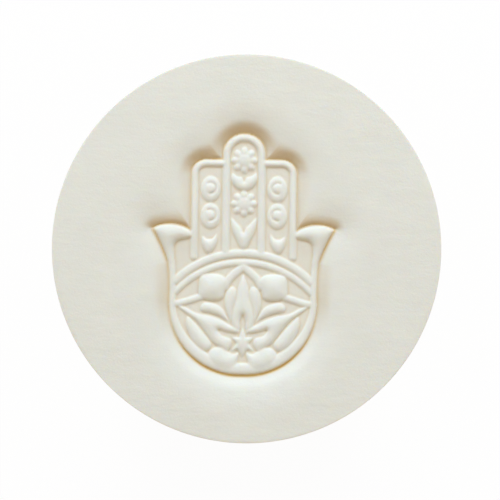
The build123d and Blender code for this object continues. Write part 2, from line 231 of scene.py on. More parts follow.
def rounded(corners: Sequence[Corner], closed: bool = False, hold: float = 0.1) -> np.ndarray:
    """Rounds the corners of a turned piece's profile.

    A rounding is the arc of its radius that touches both runs. A point a short hold beside
    it keeps the flat faces flat under smooth shading.

    Args:
        corners: Distance from the axis, height and rounding of each corner.
        closed: Whether the last corner runs back to the first.
        hold: How far the extra point lies from the rounding.

    Returns:
        The profile's points.
    """
    row = [corners[-1], *corners, corners[0]] if closed else list(corners)
    parts = [] if closed else [np.array([row[0][:2]])]
    for before, here, after in zip(row[:-2], row[1:-1], row[2:]):
        spot, radius = complex(*here[:2]), here[2]
        if radius == 0.0:
            parts.append(np.array([here[:2]]))
            continue
        back, ahead = complex(*before[:2]) - spot, complex(*after[:2]) - spot
        back, ahead = back / abs(back), ahead / abs(ahead)
        half = abs(np.angle(ahead / back)) / 2.0
        reach = radius / math.tan(half)
        inward = (back + ahead) / abs(back + ahead)
        middle = spot + inward * radius * (1.0 / math.sin(half) - 1.0)
        start, end = spot + back * reach, spot + ahead * reach
        arc = arc_through(*((p.real, p.imag) for p in (start, middle, end)), 5)
        held = [spot + back * (reach + hold), end, spot + ahead * (reach + hold)]
        line = np.array([[p.real, p.imag] for p in held])
        parts.append(np.concatenate([line[:1], arc, line[1:]]))
    if not closed:
        parts.append(np.array([row[-1][:2]]))
    return np.concatenate(parts)


def revolve(profile: np.ndarray, segments: int, closed: bool = False) -> Surface:
    """Turns a profile round the Z axis: X and Y are its radius times cosine and sine.

    Args:
        profile: Radius and height of its points. An open one starts and ends on the axis,
            from the bottom to the top; a closed one runs up its outer side.
        segments: How many steps make a full turn.
        closed: Whether the profile closes on itself, as a ring's does.

    Returns:
        A closed surface with its faces outwards.
    """
    turn = np.linspace(0.0, FULL_TURN, segments, endpoint=False)
    side = profile if closed else profile[1:-1]
    radius, height = side[:, :1], side[:, 1:]
    rings = np.stack(
        [
            radius * np.cos(turn),
            radius * np.sin(turn),
            np.broadcast_to(height, (len(side), segments)),
        ],
        axis=-1,
    ).reshape(-1, 3)
    index = np.arange(len(rings)).reshape(len(side), segments)
    if closed:
        return Surface(rings, quads(around(np.concatenate([index, index[:1]]))).tolist())
    poles = np.array([[0.0, 0.0, profile[0, 1]], [0.0, 0.0, profile[-1, 1]]])
    faces = quads(around(index)).tolist()
    faces += fan(index[0], len(rings), upward=False).tolist()
    faces += fan(index[-1], len(rings) + 1, upward=True).tolist()
    return Surface(np.concatenate([rings, poles]), faces)


def distance_to(x: np.ndarray, y: np.ndarray, path: np.ndarray) -> np.ndarray:
    """Measures how far each point lies from a path of straight runs.

    The nearest place on a run is the point's foot on its line, held between the run's ends.

    Args:
        x: The points' first coordinates.
        y: Their second coordinates.
        path: The path's corners, in order.

    Returns:
        The distance to the nearest run.
    """
    best = np.full(x.shape, np.inf)
    for (ax, ay), (bx, by) in zip(path[:-1], path[1:]):
        dx, dy = bx - ax, by - ay
        length = dx * dx + dy * dy
        if length > 0.0:
            foot = np.clip(((x - ax) * dx + (y - ay) * dy) / length, 0.0, 1.0)
            best = np.minimum(best, np.hypot(x - ax - foot * dx, y - ay - foot * dy))
    return best


def inside_of(x: np.ndarray, y: np.ndarray, path: np.ndarray) -> np.ndarray:
    """Tells which points lie inside an outline, by how often a ray to +X crosses it.

    Args:
        x: The points' first coordinates.
        y: Their second coordinates.
        path: The outline's corners; an open one ends where the ray starts.

    Returns:
        True for each point inside.
    """
    inside = np.zeros(x.shape, bool)
    for (ax, ay), (bx, by) in zip(path[:-1], path[1:]):
        if ay != by:
            spans = (ay > y) != (by > y)
            inside ^= spans & (x < ax + (y - ay) * (bx - ax) / (by - ay))
    return inside


def smooth_distance(x: np.ndarray, y: np.ndarray, path: np.ndarray) -> np.ndarray:
    """Measures how far each point lies from a path, with no ridge where two runs are as near.

    The inverse cube of the distance is summed along every run in closed form. The result is
    the root of two over that sum: the plain distance near a straight run, and less where
    other runs are near too.

    Args:
        x: The points' first coordinates.
        y: Their second coordinates.
        path: The path's corners, in order.

    Returns:
        The distance in the path's units.
    """
    total = np.full(x.shape, TINY)
    for (ax, ay), (bx, by) in zip(path[:-1], path[1:]):
        length = math.hypot(bx - ax, by - ay)
        if length > 0.0:
            tx, ty = (bx - ax) / length, (by - ay) / length
            along = (x - ax) * tx + (y - ay) * ty
            across = ((x - ax) * ty - (y - ay) * tx) ** 2 + NEAR_ZERO
            start = along / np.sqrt(across + along**2)
            end = (along - length) / np.sqrt(across + (along - length) ** 2)
            total += (start - end) / across
    return np.sqrt(2.0 / total)


def smoothstep(value: np.ndarray) -> np.ndarray:
    """Rises from 0 to 1 with level ends as the value does."""
    held = np.clip(value, 0.0, 1.0)
    return held * held * (3.0 - 2.0 * held)


def waves(x: np.ndarray, y: np.ndarray, size: float, seed: int, count: int = 24) -> np.ndarray:
    """Adds up sine waves in all directions, 0.7 to 1.5 times as long as the given length.

    Args:
        x: The points' first coordinates.
        y: Their second coordinates.
        size: The waves' length.
        seed: Picks their directions and phases.
        count: How many there are.

    Returns:
        A smooth uneven height with a spread of about one.
    """
    draw = np.random.default_rng(seed)
    total = np.zeros(np.broadcast(x, y).shape)
    for turn, phase, stretch in draw.uniform(0.0, 1.0, (count, 3)):
        pace = FULL_TURN / (size * (0.7 + 0.8 * stretch))
        way = x * math.cos(FULL_TURN * turn) + y * math.sin(FULL_TURN * turn)
        total += np.sin(pace * way + FULL_TURN * phase)
    return total * math.sqrt(2.0 / count)


def make_piece(
    name: str,
    shape: Surface,
    body: Body,
    replaced: str,
    finish: bpy.types.Material,
) -> bpy.types.Object:
    """Writes a surface into a mesh object that stands for a CAD node.

    Args:
        name: The piece's name.
        shape: Its surface in millimetres.
        body: The body that it rides on.
        replaced: The CAD node that it stands for.
        finish: Its material.

    Returns:
        The new object, at the origin, with smooth faces.
    """
    mesh = bpy.data.meshes.new(name)
    mesh.from_pydata((shape.points * MM).tolist(), [], shape.faces)
    mesh.polygons.foreach_set("use_smooth", np.ones(len(mesh.polygons), bool))
    for key, value in shape.values.items():
        layer = mesh.attributes.new(key, "FLOAT", "POINT")
        layer.data.foreach_set("value", value.astype(np.float32))
    mesh.materials.append(finish)
    mesh.update()
    piece = bpy.data.objects.new(name, mesh)
    bpy.context.scene.collection.objects.link(piece)
    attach(piece, body.value)
    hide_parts(replaced)
    return piece


def dress(node: str, finish: bpy.types.Material) -> bpy.types.Object:
    """Gives a CAD node that stays its finish.

    Args:
        node: The node's name.
        finish: Its material.

    Returns:
        The node's object.
    """
    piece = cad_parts[node]
    for place in piece.material_slots:
        place.material = finish
    return piece


# Finishes


def linear(code: str) -> Colour:
    """Turns an sRGB hex value into linear light, by the two-part sRGB curve.

    Args:
        code: Six hex digits, such as d9b184.

    Returns:
        Red, green, blue and an alpha of one.
    """
    parts = [int(code[place : place + 2], 16) / 255.0 for place in (0, 2, 4)]
    lit = [p / 12.92 if p <= 0.04045 else ((p + 0.055) / 1.055) ** 2.4 for p in parts]
    return (lit[0], lit[1], lit[2], 1.0)


def per_mm(x: float, y: float, z: float) -> Tuple[float, float, float]:
    """Gives the scale at which a pattern of unit size repeats after so many millimetres."""
    return (PER_MM / x, PER_MM / y, PER_MM / z)


def add(tree: bpy.types.NodeTree, kind: str, feeds: Dict[Any, Any], **settings: Any) -> bpy.types.Node:
    """Adds a node with its settings and links.

    Args:
        tree: The material's or world's node tree.
        kind: Blender's name for the node, without its ShaderNode.
        feeds: For each input's name or number, an output to link or a value to set.
        **settings: The node's own properties.

    Returns:
        The new node.
    """
    made = tree.nodes.new("ShaderNode" + kind)
    for key, value in settings.items():
        setattr(made, key, value)
    for key, value in feeds.items():
        if isinstance(value, bpy.types.NodeSocket):
            tree.links.new(value, made.inputs[key])
        else:
            made.inputs[key].default_value = value
    return made


def start_material(name: str) -> Tuple[bpy.types.Material, bpy.types.NodeTree, bpy.types.Node]:
    """Starts a material.

    Args:
        name: The material's name.

    Returns:
        The material, its node tree and its main shader.
    """
    material = bpy.data.materials.new(name)
    material.use_nodes = True
    return material, material.node_tree, material.node_tree.nodes["Principled BSDF"]


@dataclass(frozen=True)
class PressedClay:
    """White stoneware clay, pressed in a mould and left matt.

    It gives a soft chalky grey-cream, whiter and cleaner where the mould pressed it, with a
    fine grain, a cloudy unevenness from smoothing, a little light inside, and a painted tan
    shade in its hollows and creases, on its sunk floor and on slopes turned from the lamp.
    """

    face: str = "dedfd9"
    pressed: str = "e0e2dd"
    # Tan colour of the painted shade, multiplied in where its mask is high.
    painted_shade: str = "ebc47c"
    grain: float = 0.3
    smear: float = 1.6
    mottle: float = 5.0
    grain_depth: float = 0.022
    smear_depth: float = 0.045
    light_depth: float = 0.28

    def make(self) -> bpy.types.Material:
        """Builds the material.

        Returns:
            The new material.
        """
        material, tree, shader = start_material("pressed_stoneware_clay")
        place = add(tree, "TexCoord", {}).outputs["Object"]
        sizes = (
            (self.grain, self.grain, self.grain),
            (3.0 * self.smear, self.smear, 3.0 * self.smear),
            (self.mottle, self.mottle, self.mottle),
        )
        noises = []
        for size in sizes:
            at = add(tree, "Mapping", {"Vector": place, "Scale": per_mm(*size)}).outputs["Vector"]
            feeds = {"Vector": at, "Scale": 1.0, "Detail": 4.0, "Roughness": 0.6}
            noises.append(add(tree, "TexNoise", feeds).outputs["Fac"])
        grain, smear, mottle = noises
        pressed = add(tree, "Attribute", {}, attribute_name="pressed").outputs["Fac"]
        # Mask of the painted shade, made with the relief.
        painted_shade = add(tree, "Attribute", {}, attribute_name="painted_shade").outputs["Fac"]
        base = add(
            tree,
            "Mix",
            {0: pressed, 6: linear(self.face), 7: linear(self.pressed)},
            data_type="RGBA",
        ).outputs[2]
        uneven = add(tree, "Math", {0: smear, 1: mottle}, operation="ADD").outputs[0]
        shade = add(
            tree,
            "MapRange",
            {"Value": uneven, "From Min": 0.6, "From Max": 1.4, "To Min": 0.975, "To Max": 1.025},
        ).outputs["Result"]
        shaded = add(tree, "VectorMath", {0: base, 3: shade}, operation="SCALE").outputs[0]
        # Painted shade: the base colour is multiplied by the tan, as far as the mask says.
        base_with_painted_shade = add(
            tree,
            "Mix",
            {0: painted_shade, 6: shaded, 7: linear(self.painted_shade)},
            data_type="RGBA",
            blend_type="MULTIPLY",
        ).outputs[2]
        tree.links.new(base_with_painted_shade, shader.inputs["Base Color"])
        plain = add(tree, "Math", {0: 1.0, 1: pressed}, operation="SUBTRACT").outputs[0]
        low_height = add(tree, "Math", {0: smear, 1: plain}, operation="MULTIPLY").outputs[0]
        low = add(
            tree, "Bump", {"Height": low_height, "Strength": 1.0, "Distance": self.smear_depth * MM}
        ).outputs["Normal"]
        fine = add(
            tree,
            "Bump",
            {"Height": grain, "Normal": low, "Strength": 1.0, "Distance": self.grain_depth * MM},
        ).outputs["Normal"]
        tree.links.new(fine, shader.inputs["Normal"])
        shader.inputs["Roughness"].default_value = 0.8
        shader.inputs["IOR"].default_value = 1.5
        shader.inputs["Specular IOR Level"].default_value = 0.3
        shader.inputs["Subsurface Weight"].default_value = 0.5
        shader.inputs["Subsurface Radius"].default_value = (1.0, 0.7, 0.42)
        shader.inputs["Subsurface Scale"].default_value = self.light_depth * MM
        return material


@dataclass(frozen=True)
class TurnedBeech:
    """Steamed beech, turned, sanded and oiled.

    It gives a pinkish tan with soft growth bands, the short dark flecks of its rays and fine
    open pores along the grain, under a thin satin oil film.
    """

    name: str
    grain: Grain
    light: str = "d2ab80"
    dark: str = "b98a5d"
    fleck: str = "8d5f3a"
    band_width: float = 4.0
    fleck_length: float = 2.0
    fleck_width: float = 0.26
    pore_length: float = 1.6
    pore_width: float = 0.14
    pore_depth: float = 0.05

    def along(self, length: float, width: float) -> Tuple[float, float, float]:
        """Gives the scale of a pattern that is longer along the grain than across it."""
        upright = self.grain is Grain.UP
        return per_mm(width if upright else length, width, length if upright else width)

    def make(self) -> bpy.types.Material:
        """Builds the material.

        Returns:
            The new material.
        """
        material, tree, shader = start_material(self.name)
        place = add(tree, "TexCoord", {}).outputs["Object"]
        patterns = (
            (14.0 * self.band_width, self.band_width, 5.0, 0.65),
            (self.fleck_length, self.fleck_width, 1.0, 0.4),
            (self.pore_length, self.pore_width, 2.0, 0.5),
        )
        noises = []
        for length, width, detail, roughness in patterns:
            scale = self.along(length, width)
            at = add(tree, "Mapping", {"Vector": place, "Scale": scale}).outputs["Vector"]
            feeds = {"Vector": at, "Scale": 1.0, "Detail": detail, "Roughness": roughness}
            noises.append(add(tree, "TexNoise", feeds).outputs["Fac"])
        bands, flecks, pores = noises
        band_share = add(
            tree, "MapRange", {"Value": bands, "From Min": 0.36, "From Max": 0.66}
        ).outputs["Result"]
        fleck_share = add(
            tree,
            "MapRange",
            {"Value": flecks, "From Min": 0.62, "From Max": 0.72, "To Max": 0.75},
        ).outputs["Result"]
        pore_share = add(
            tree,
            "MapRange",
            {"Value": pores, "From Min": 0.56, "From Max": 0.7, "To Max": 0.35},
        ).outputs["Result"]
        base = add(
            tree,
            "Mix",
            {0: band_share, 6: linear(self.light), 7: linear(self.dark)},
            data_type="RGBA",
        ).outputs[2]
        marked = add(
            tree, "Mix", {0: fleck_share, 6: base, 7: linear(self.fleck)}, data_type="RGBA"
        ).outputs[2]
        pored = add(
            tree, "Mix", {0: pore_share, 6: marked, 7: linear(self.fleck)}, data_type="RGBA"
        ).outputs[2]
        tree.links.new(pored, shader.inputs["Base Color"])
        gloss = add(
            tree, "MapRange", {"Value": bands, "To Min": 0.42, "To Max": 0.58}
        ).outputs["Result"]
        tree.links.new(gloss, shader.inputs["Roughness"])
        sunk = add(tree, "Math", {0: 1.0, 1: pores}, operation="SUBTRACT").outputs[0]
        normal = add(
            tree, "Bump", {"Height": sunk, "Strength": 0.6, "Distance": self.pore_depth * MM}
        ).outputs["Normal"]
        tree.links.new(normal, shader.inputs["Normal"])
        shader.inputs["IOR"].default_value = 1.5
        shader.inputs["Coat Weight"].default_value = 0.12
        shader.inputs["Coat Roughness"].default_value = 0.35
        return material


@dataclass(frozen=True)
class TurnedBrass:
    """Brass, turned on a lathe and lightly tarnished by hands.

    It gives a warm yellow metal with fine round tool lines and browner, duller clouds.
    """

    name: str
    bright: str = "e3c581"
    tarnish: str = "b78f50"
    cloud: float = 3.0
    # Real feed marks are near 0.1 mm; they are drawn coarser so that they show.
    tool_line: float = 0.3
    line_depth: float = 0.012
    # The wave texture repeats after this length when its scale is 1.
    wave_period: float = FULL_TURN / 20.0

    def make(self) -> bpy.types.Material:
        """Builds the material.

        Returns:
            The new material.
        """
        material, tree, shader = start_material(self.name)
        place = add(tree, "TexCoord", {}).outputs["Object"]
        line_scale = self.tool_line / self.wave_period
        line_place = add(
            tree, "Mapping", {"Vector": place, "Scale": per_mm(line_scale, line_scale, line_scale)}
        ).outputs["Vector"]
        cloud_place = add(
            tree, "Mapping", {"Vector": place, "Scale": per_mm(self.cloud, self.cloud, self.cloud)}
        ).outputs["Vector"]
        rings = add(
            tree,
            "TexWave",
            {"Vector": line_place, "Scale": 1.0, "Distortion": 0.4, "Detail": 1.0},
            wave_type="RINGS",
            rings_direction="Z",
        ).outputs["Fac"]
        steps = add(
            tree,
            "TexWave",
            {"Vector": line_place, "Scale": 1.0, "Distortion": 0.4, "Detail": 1.0},
            wave_type="BANDS",
            bands_direction="Z",
        ).outputs["Fac"]
        lines = add(tree, "Math", {0: rings, 1: steps}, operation="ADD").outputs[0]
        clouds = add(
            tree,
            "TexNoise",
            {"Vector": cloud_place, "Scale": 1.0, "Detail": 5.0, "Roughness": 0.6},
        ).outputs["Fac"]
        worn = add(
            tree, "MapRange", {"Value": clouds, "From Min": 0.4, "From Max": 0.75, "To Max": 0.8}
        ).outputs["Result"]
        colour = add(
            tree, "Mix", {0: worn, 6: linear(self.bright), 7: linear(self.tarnish)}, data_type="RGBA"
        ).outputs[2]
        dull = add(
            tree, "MapRange", {"Value": clouds, "To Min": 0.2, "To Max": 0.42}
        ).outputs["Result"]
        normal = add(
            tree, "Bump", {"Height": lines, "Strength": 0.35, "Distance": self.line_depth * MM}
        ).outputs["Normal"]
        tree.links.new(colour, shader.inputs["Base Color"])
        tree.links.new(dull, shader.inputs["Roughness"])
        tree.links.new(normal, shader.inputs["Normal"])
        shader.inputs["Metallic"].default_value = 1.0
        return material


@dataclass(frozen=True)
class PressedCork:
    """Agglomerated sheet cork: granules pressed together and sliced.

    It gives tan and brown grains about a millimetre wide with dark gaps between them.
    """

    pale: str = "cda471"
    brown: str = "94663c"
    gap: str = "5a3a20"
    granule: float = 0.9
    granule_depth: float = 0.12

    def make(self) -> bpy.types.Material:
        """Builds the material.

        Returns:
            The new material.
        """
        material, tree, shader = start_material("agglomerated_cork_sheet")
        place = add(tree, "TexCoord", {}).outputs["Object"]
        granule_place = add(
            tree,
            "Mapping",
            {"Vector": place, "Scale": per_mm(self.granule, self.granule, self.granule)},
        ).outputs["Vector"]
        cells = add(tree, "TexVoronoi", {"Vector": granule_place, "Scale": 1.0})
        edges = add(
            tree, "TexVoronoi", {"Vector": granule_place, "Scale": 1.0}, feature="DISTANCE_TO_EDGE"
        ).outputs["Distance"]
        dust = add(
            tree,
            "TexNoise",
            {"Vector": granule_place, "Scale": 5.0, "Detail": 3.0, "Roughness": 0.6},
        ).outputs["Fac"]
        pick = add(tree, "SeparateColor", {"Color": cells.outputs["Color"]}).outputs[0]
        grain = add(
            tree, "Mix", {0: pick, 6: linear(self.pale), 7: linear(self.brown)}, data_type="RGBA"
        ).outputs[2]
        near_gap = add(
            tree,
            "MapRange",
            {"Value": edges, "From Min": 0.02, "From Max": 0.1, "To Min": 0.85, "To Max": 0.0},
        ).outputs["Result"]
        colour = add(
            tree, "Mix", {0: near_gap, 6: grain, 7: linear(self.gap)}, data_type="RGBA"
        ).outputs[2]
        rough = add(tree, "Math", {0: dust, 1: near_gap}, operation="SUBTRACT").outputs[0]
        normal = add(
            tree, "Bump", {"Height": rough, "Strength": 0.8, "Distance": self.granule_depth * MM}
        ).outputs["Normal"]
        tree.links.new(colour, shader.inputs["Base Color"])
        tree.links.new(normal, shader.inputs["Normal"])
        shader.inputs["Roughness"].default_value = 0.9
        shader.inputs["IOR"].default_value = 1.45
        shader.inputs["Specular IOR Level"].default_value = 0.3
        return material


@dataclass(frozen=True)
class VulcanisedFibre:
    """Red vulcanised fibre, punched from sheet.

    It gives a dense red-brown board with faint fibre streaks and a dull calendered sheen.
    """

    base: str = "954b38"
    streak: str = "73331f"
    streak_length: float = 3.0
    streak_width: float = 0.25
    streak_depth: float = 0.02

    def make(self) -> bpy.types.Material:
        """Builds the material.

        Returns:
            The new material.
        """
        material, tree, shader = start_material("red_vulcanised_fibre")
        place = add(tree, "TexCoord", {}).outputs["Object"]
        streak_place = add(
            tree,
            "Mapping",
            {
                "Vector": place,
                "Scale": per_mm(self.streak_length, self.streak_width, self.streak_width),
            },
        ).outputs["Vector"]
        streaks = add(
            tree,
            "TexNoise",
            {"Vector": streak_place, "Scale": 1.0, "Detail": 4.0, "Roughness": 0.6},
        ).outputs["Fac"]
        share = add(
            tree, "MapRange", {"Value": streaks, "From Min": 0.4, "From Max": 0.7}
        ).outputs["Result"]
        colour = add(
            tree, "Mix", {0: share, 6: linear(self.base), 7: linear(self.streak)}, data_type="RGBA"
        ).outputs[2]
        normal = add(
            tree, "Bump", {"Height": streaks, "Strength": 0.5, "Distance": self.streak_depth * MM}
        ).outputs["Normal"]
        tree.links.new(colour, shader.inputs["Base Color"])
        tree.links.new(normal, shader.inputs["Normal"])
        shader.inputs["Roughness"].default_value = 0.55
        shader.inputs["IOR"].default_value = 1.52
        return material


@dataclass(frozen=True)
class PressedFelt:
    """Pressed wool felt, cut to a disc.

    It gives a dull grey-green mat of short matted fibres with a soft pale fuzz at its edges.
    """

    base: str = "616859"
    deep: str = "454b3f"
    # Wool fibres are near 0.03 mm; the mat is drawn coarser so that it shows.
    fibre: float = 0.22
    mat_depth: float = 0.12

    def make(self) -> bpy.types.Material:
        """Builds the material.

        Returns:
            The new material.
        """
        material, tree, shader = start_material("pressed_wool_felt")
        place = add(tree, "TexCoord", {}).outputs["Object"]
        fibre_place = add(
            tree, "Mapping", {"Vector": place, "Scale": per_mm(self.fibre, self.fibre, self.fibre)}
        ).outputs["Vector"]
        mat = add(
            tree,
            "TexNoise",
            {
                "Vector": fibre_place,
                "Scale": 1.0,
                "Detail": 5.0,
                "Roughness": 0.7,
                "Distortion": 1.2,
            },
        ).outputs["Fac"]
        share = add(
            tree, "MapRange", {"Value": mat, "From Min": 0.35, "From Max": 0.65}
        ).outputs["Result"]
        colour = add(
            tree, "Mix", {0: share, 6: linear(self.deep), 7: linear(self.base)}, data_type="RGBA"
        ).outputs[2]
        normal = add(
            tree, "Bump", {"Height": mat, "Strength": 0.9, "Distance": self.mat_depth * MM}
        ).outputs["Normal"]
        tree.links.new(colour, shader.inputs["Base Color"])
        tree.links.new(normal, shader.inputs["Normal"])
        shader.inputs["Roughness"].default_value = 1.0
        shader.inputs["Specular IOR Level"].default_value = 0.2
        shader.inputs["Sheen Weight"].default_value = 0.35
        shader.inputs["Sheen Roughness"].default_value = 0.5
        return material


# The clay face


@dataclass(frozen=True)
class Pillow:
    """A raised form of the ornament, by its outline in shares of the palm's radius.

    A point given twice is a corner. A form on the axis lists its right half, bottom to top.
    """

    shares: Shares
    on_axis: bool = False
    lip: float = 1.0


@dataclass
class HandRelief:
    """The sunk open hand with its raised ornament, as a height over the face's plane.

    Places are in the hand's own frame, with the palm's centre at its origin and the fingers
    along +Y. Shares are of the palm's radius, for the right half of the hand.
    """

    # Where the hand lies on the face, and its outer edge
    palm_radius: float = 9.5
    offset: Point = (-0.48, -6.6)
    turn: float = -0.6
    palm_share: float = 1.01
    palm_swell: float = 0.032
    swell_pace: float = 1.6
    side_shares: Shares = (
        (1.01, 0.0),
        (1.01, 0.25),
        (1.03, 0.5),
        (1.122, 0.73),
        (1.24, 0.966),
        (1.013, 1.034),
    )
    web_share: float = 0.952

    # The clay outside that edge, and the floor inside it
    floor: float = -1.45
    wall_width: float = 1.4
    wall_round: float = 0.25
    thumb_top: Point = (9.4, 10.2)
    thumb_reach: float = 3.6
    thumb_narrow: float = 0.45
    thumb_lift: float = 0.32
    dish_depth: float = 0.62
    dish_reach: float = 2.9
    crease_depth: float = 0.12
    crease_width: float = 0.22
    crease_shift: float = 0.02

    # How strong the painted tan shade is, and how it follows the way that a slope faces
    crease_shade_share: float = 0.28
    crease_shade_gain: float = 1.2
    crease_shade_start: float = 0.1
    wall_shade_strength: float = 0.5
    wall_shade_level: float = 0.38
    wall_shade_spread: float = 1.6
    wall_shade_fade: float = 6.0
    painted_floor_shade: float = 0.14
    floor_shade_rise: float = 0.15
    pressed_blend: float = 0.3

    # Fingers, rim and arches
    side_half: float = 6.36
    side_reach: float = 17.6
    middle_half: float = 2.28
    middle_stem: float = 0.54
    middle_start: float = 0.35
    side_foot: float = 5.5
    corner_radius: float = 1.5
    middle_bead: float = 1.05
    side_bead: float = 0.98
    rim_width: float = 0.96
    rim_spread: float = 0.72
    rim_spread_angle: float = 60.0
    rim_end_share: float = 0.56
    rim_fade: float = 0.5
    arch_radius: float = 12.43
    arch_top: float = 5.98
    arch_tightening: float = 0.5
    arch_step: float = 1.18
    arch_bead: float = 1.15
    lower_arch_bead: float = 0.95
    arch_end: float = 8.7
    bar_bead: float = 0.95
    roof_bead: float = 1.1

    # How the forms rise
    lip_rise: float = 0.14
    lip_reach: float = 0.1
    finger_lip: float = 1.7
    finger_lip_start: float = 0.4
    finger_lip_blend: float = 2.5
    rim_lip: float = 1.3
    slope: float = 0.41
    blend: float = 0.06

    thumb: Pillow = Pillow(
        (
            (1.25, 0.95),
            (1.25, 0.95),
            (1.15, 1.0),
            (1.0, 1.01),
            (0.85, 0.99),
            (0.72, 0.93),
            (0.68, 0.86),
            (0.77, 0.82),
            (0.87, 0.8),
            (0.93, 0.74),
            (0.94, 0.6),
            (0.93, 0.48),
            (1.02, 0.48),
            (1.05, 0.58),
            (1.1, 0.7),
            (1.17, 0.83),
        ),
        lip=1.3,
    )
    big_dome: Pillow = Pillow(
        (
            (0.59, 0.29),
            (0.55, 0.335),
            (0.42, 0.355),
            (0.28, 0.33),
            (0.21, 0.26),
            (0.24, 0.12),
            (0.28, 0.01),
            (0.36, -0.02),
            (0.53, 0.0),
            (0.6, 0.05),
            (0.605, 0.18),
        ),
        lip=1.3,
    )
    inner_leaf: Pillow = Pillow(
        (
            (0.13, 0.18),
            (0.19, 0.16),
            (0.24, 0.07),
            (0.25, -0.06),
            (0.22, -0.18),
            (0.16, -0.31),
            (0.16, -0.31),
            (0.125, -0.13),
            (0.08, 0.05),
            (0.09, 0.14),
        ),
    )
    side_leaf: Pillow = Pillow(
        (
            (0.58, -0.1),
            (0.53, -0.04),
            (0.4, -0.05),
            (0.28, -0.11),
            (0.17, -0.31),
            (0.17, -0.31),
            (0.32, -0.23),
            (0.44, -0.19),
            (0.56, -0.16),
        ),
    )
    wing: Pillow = Pillow(
        (
            (0.9, -0.08),
            (0.79, -0.1),
            (0.63, -0.18),
            (0.44, -0.22),
            (0.3, -0.27),
            (0.17, -0.34),
            (0.05, -0.39),
            (0.05, -0.45),
            (0.19, -0.445),
            (0.33, -0.41),
            (0.28, -0.48),
            (0.16, -0.53),
            (0.145, -0.62),
            (0.21, -0.7),
            (0.29, -0.66),
            (0.4, -0.59),
            (0.51, -0.45),
            (0.64, -0.29),
            (0.78, -0.19),
        ),
    )
    lens_leaf: Pillow = Pillow(
        (
            (0.75, -0.23),
            (0.775, -0.32),
            (0.735, -0.47),
            (0.64, -0.62),
            (0.51, -0.7),
            (0.44, -0.67),
            (0.42, -0.6),
            (0.51, -0.47),
            (0.64, -0.32),
        ),
    )
    base_dome: Pillow = Pillow(
        (
            (0.46, -0.71),
            (0.39, -0.65),
            (0.28, -0.64),
            (0.2, -0.69),
            (0.13, -0.73),
            (0.05, -0.72),
            (0.06, -0.8),
            (0.1, -0.96),
            (0.23, -0.99),
            (0.4, -0.93),
            (0.48, -0.82),
        ),
    )
    small_tulip: Pillow = Pillow(
        (
            (0.56, 0.87),
            (0.56, 0.87),
            (0.51, 0.83),
            (0.43, 0.83),
            (0.36, 0.9),
            (0.36, 0.9),
            (0.36, 0.78),
            (0.4, 0.68),
            (0.48, 0.62),
            (0.54, 0.68),
            (0.57, 0.78),
        ),
    )
    petal: Pillow = Pillow(
        (
            (0.0, -0.21),
            (0.035, -0.29),
            (0.04, -0.4),
            (0.11, -0.4),
            (0.155, -0.31),
            (0.15, -0.15),
            (0.1, 0.03),
            (0.07, 0.18),
            (0.0, 0.36),
        ),
        on_axis=True,
    )
    base_drop: Pillow = Pillow(((0.06, -0.95), (0.09, -0.9), (0.06, -0.86)), on_axis=True)
    upper_tulip: Pillow = Pillow(
        (
            (0.05, 1.48),
            (0.13, 1.53),
            (0.185, 1.63),
            (0.17, 1.73),
            (0.17, 1.73),
            (0.1, 1.685),
            (0.03, 1.66),
            (0.0, 1.61),
        ),
        on_axis=True,
    )
    lower_tulip: Pillow = Pillow(
        (
            (0.03, 0.69),
            (0.1, 0.81),
            (0.165, 0.96),
            (0.18, 1.13),
            (0.18, 1.13),
            (0.1, 1.05),
            (0.03, 0.98),
            (0.0, 0.92),
        ),
        on_axis=True,
    )
    star: Pillow = Pillow(
        (
            (0.0, -0.78),
            (0.07, -0.68),
            (0.07, -0.68),
            (0.16, -0.7),
            (0.16, -0.7),
            (0.09, -0.59),
            (0.09, -0.59),
            (0.15, -0.51),
            (0.15, -0.51),
            (0.05, -0.5),
            (0.05, -0.5),
            (0.0, -0.36),
        ),
        on_axis=True,
    )
    eye_bar: Shares = ((0.97, -0.06), (0.86, -0.05), (0.75, -0.02), (0.56, 0.04))
    roof: Shares = ((0.0, 0.45), (0.06, 0.4), (0.12, 0.35), (0.19, 0.28), (0.25, 0.18))

    rosette_centre_shares: Point = (1.892, 1.305)
    rosette_radius: float = 1.74
    rosette_petals: int = 8
    petal_size: Point = (0.6, 0.48)
    rosette_heart: float = 0.98
    mound_rise: float = 0.06
    curl_across_share: float = 0.452
    curl_centre_shares: Point = (1.5, 1.135)
    curl_halves: Point = (1.32, 1.72)
    groove_radius: float = 0.72
    groove_width: float = 0.14
    groove_depth: float = 0.15
    groove_ends: Point = (65.0, 275.0)
    dot_shift: Point = (0.04, 0.1)
    dot_radius: float = 0.62
    dot_rise: float = 0.08

    def to_hand(self, x: np.ndarray, y: np.ndarray) -> Tuple[np.ndarray, np.ndarray]:
        """Moves points of the face into the hand's own frame.

        Args:
            x: The points' first coordinates on the face.
            y: Their second coordinates.

        Returns:
            The same points seen from the palm's centre, turned as the hand is.
        """
        turn = math.radians(self.turn)
        dx, dy = x - self.offset[0], y - self.offset[1]
        return (
            dx * math.cos(turn) + dy * math.sin(turn),
            dy * math.cos(turn) - dx * math.sin(turn),
        )

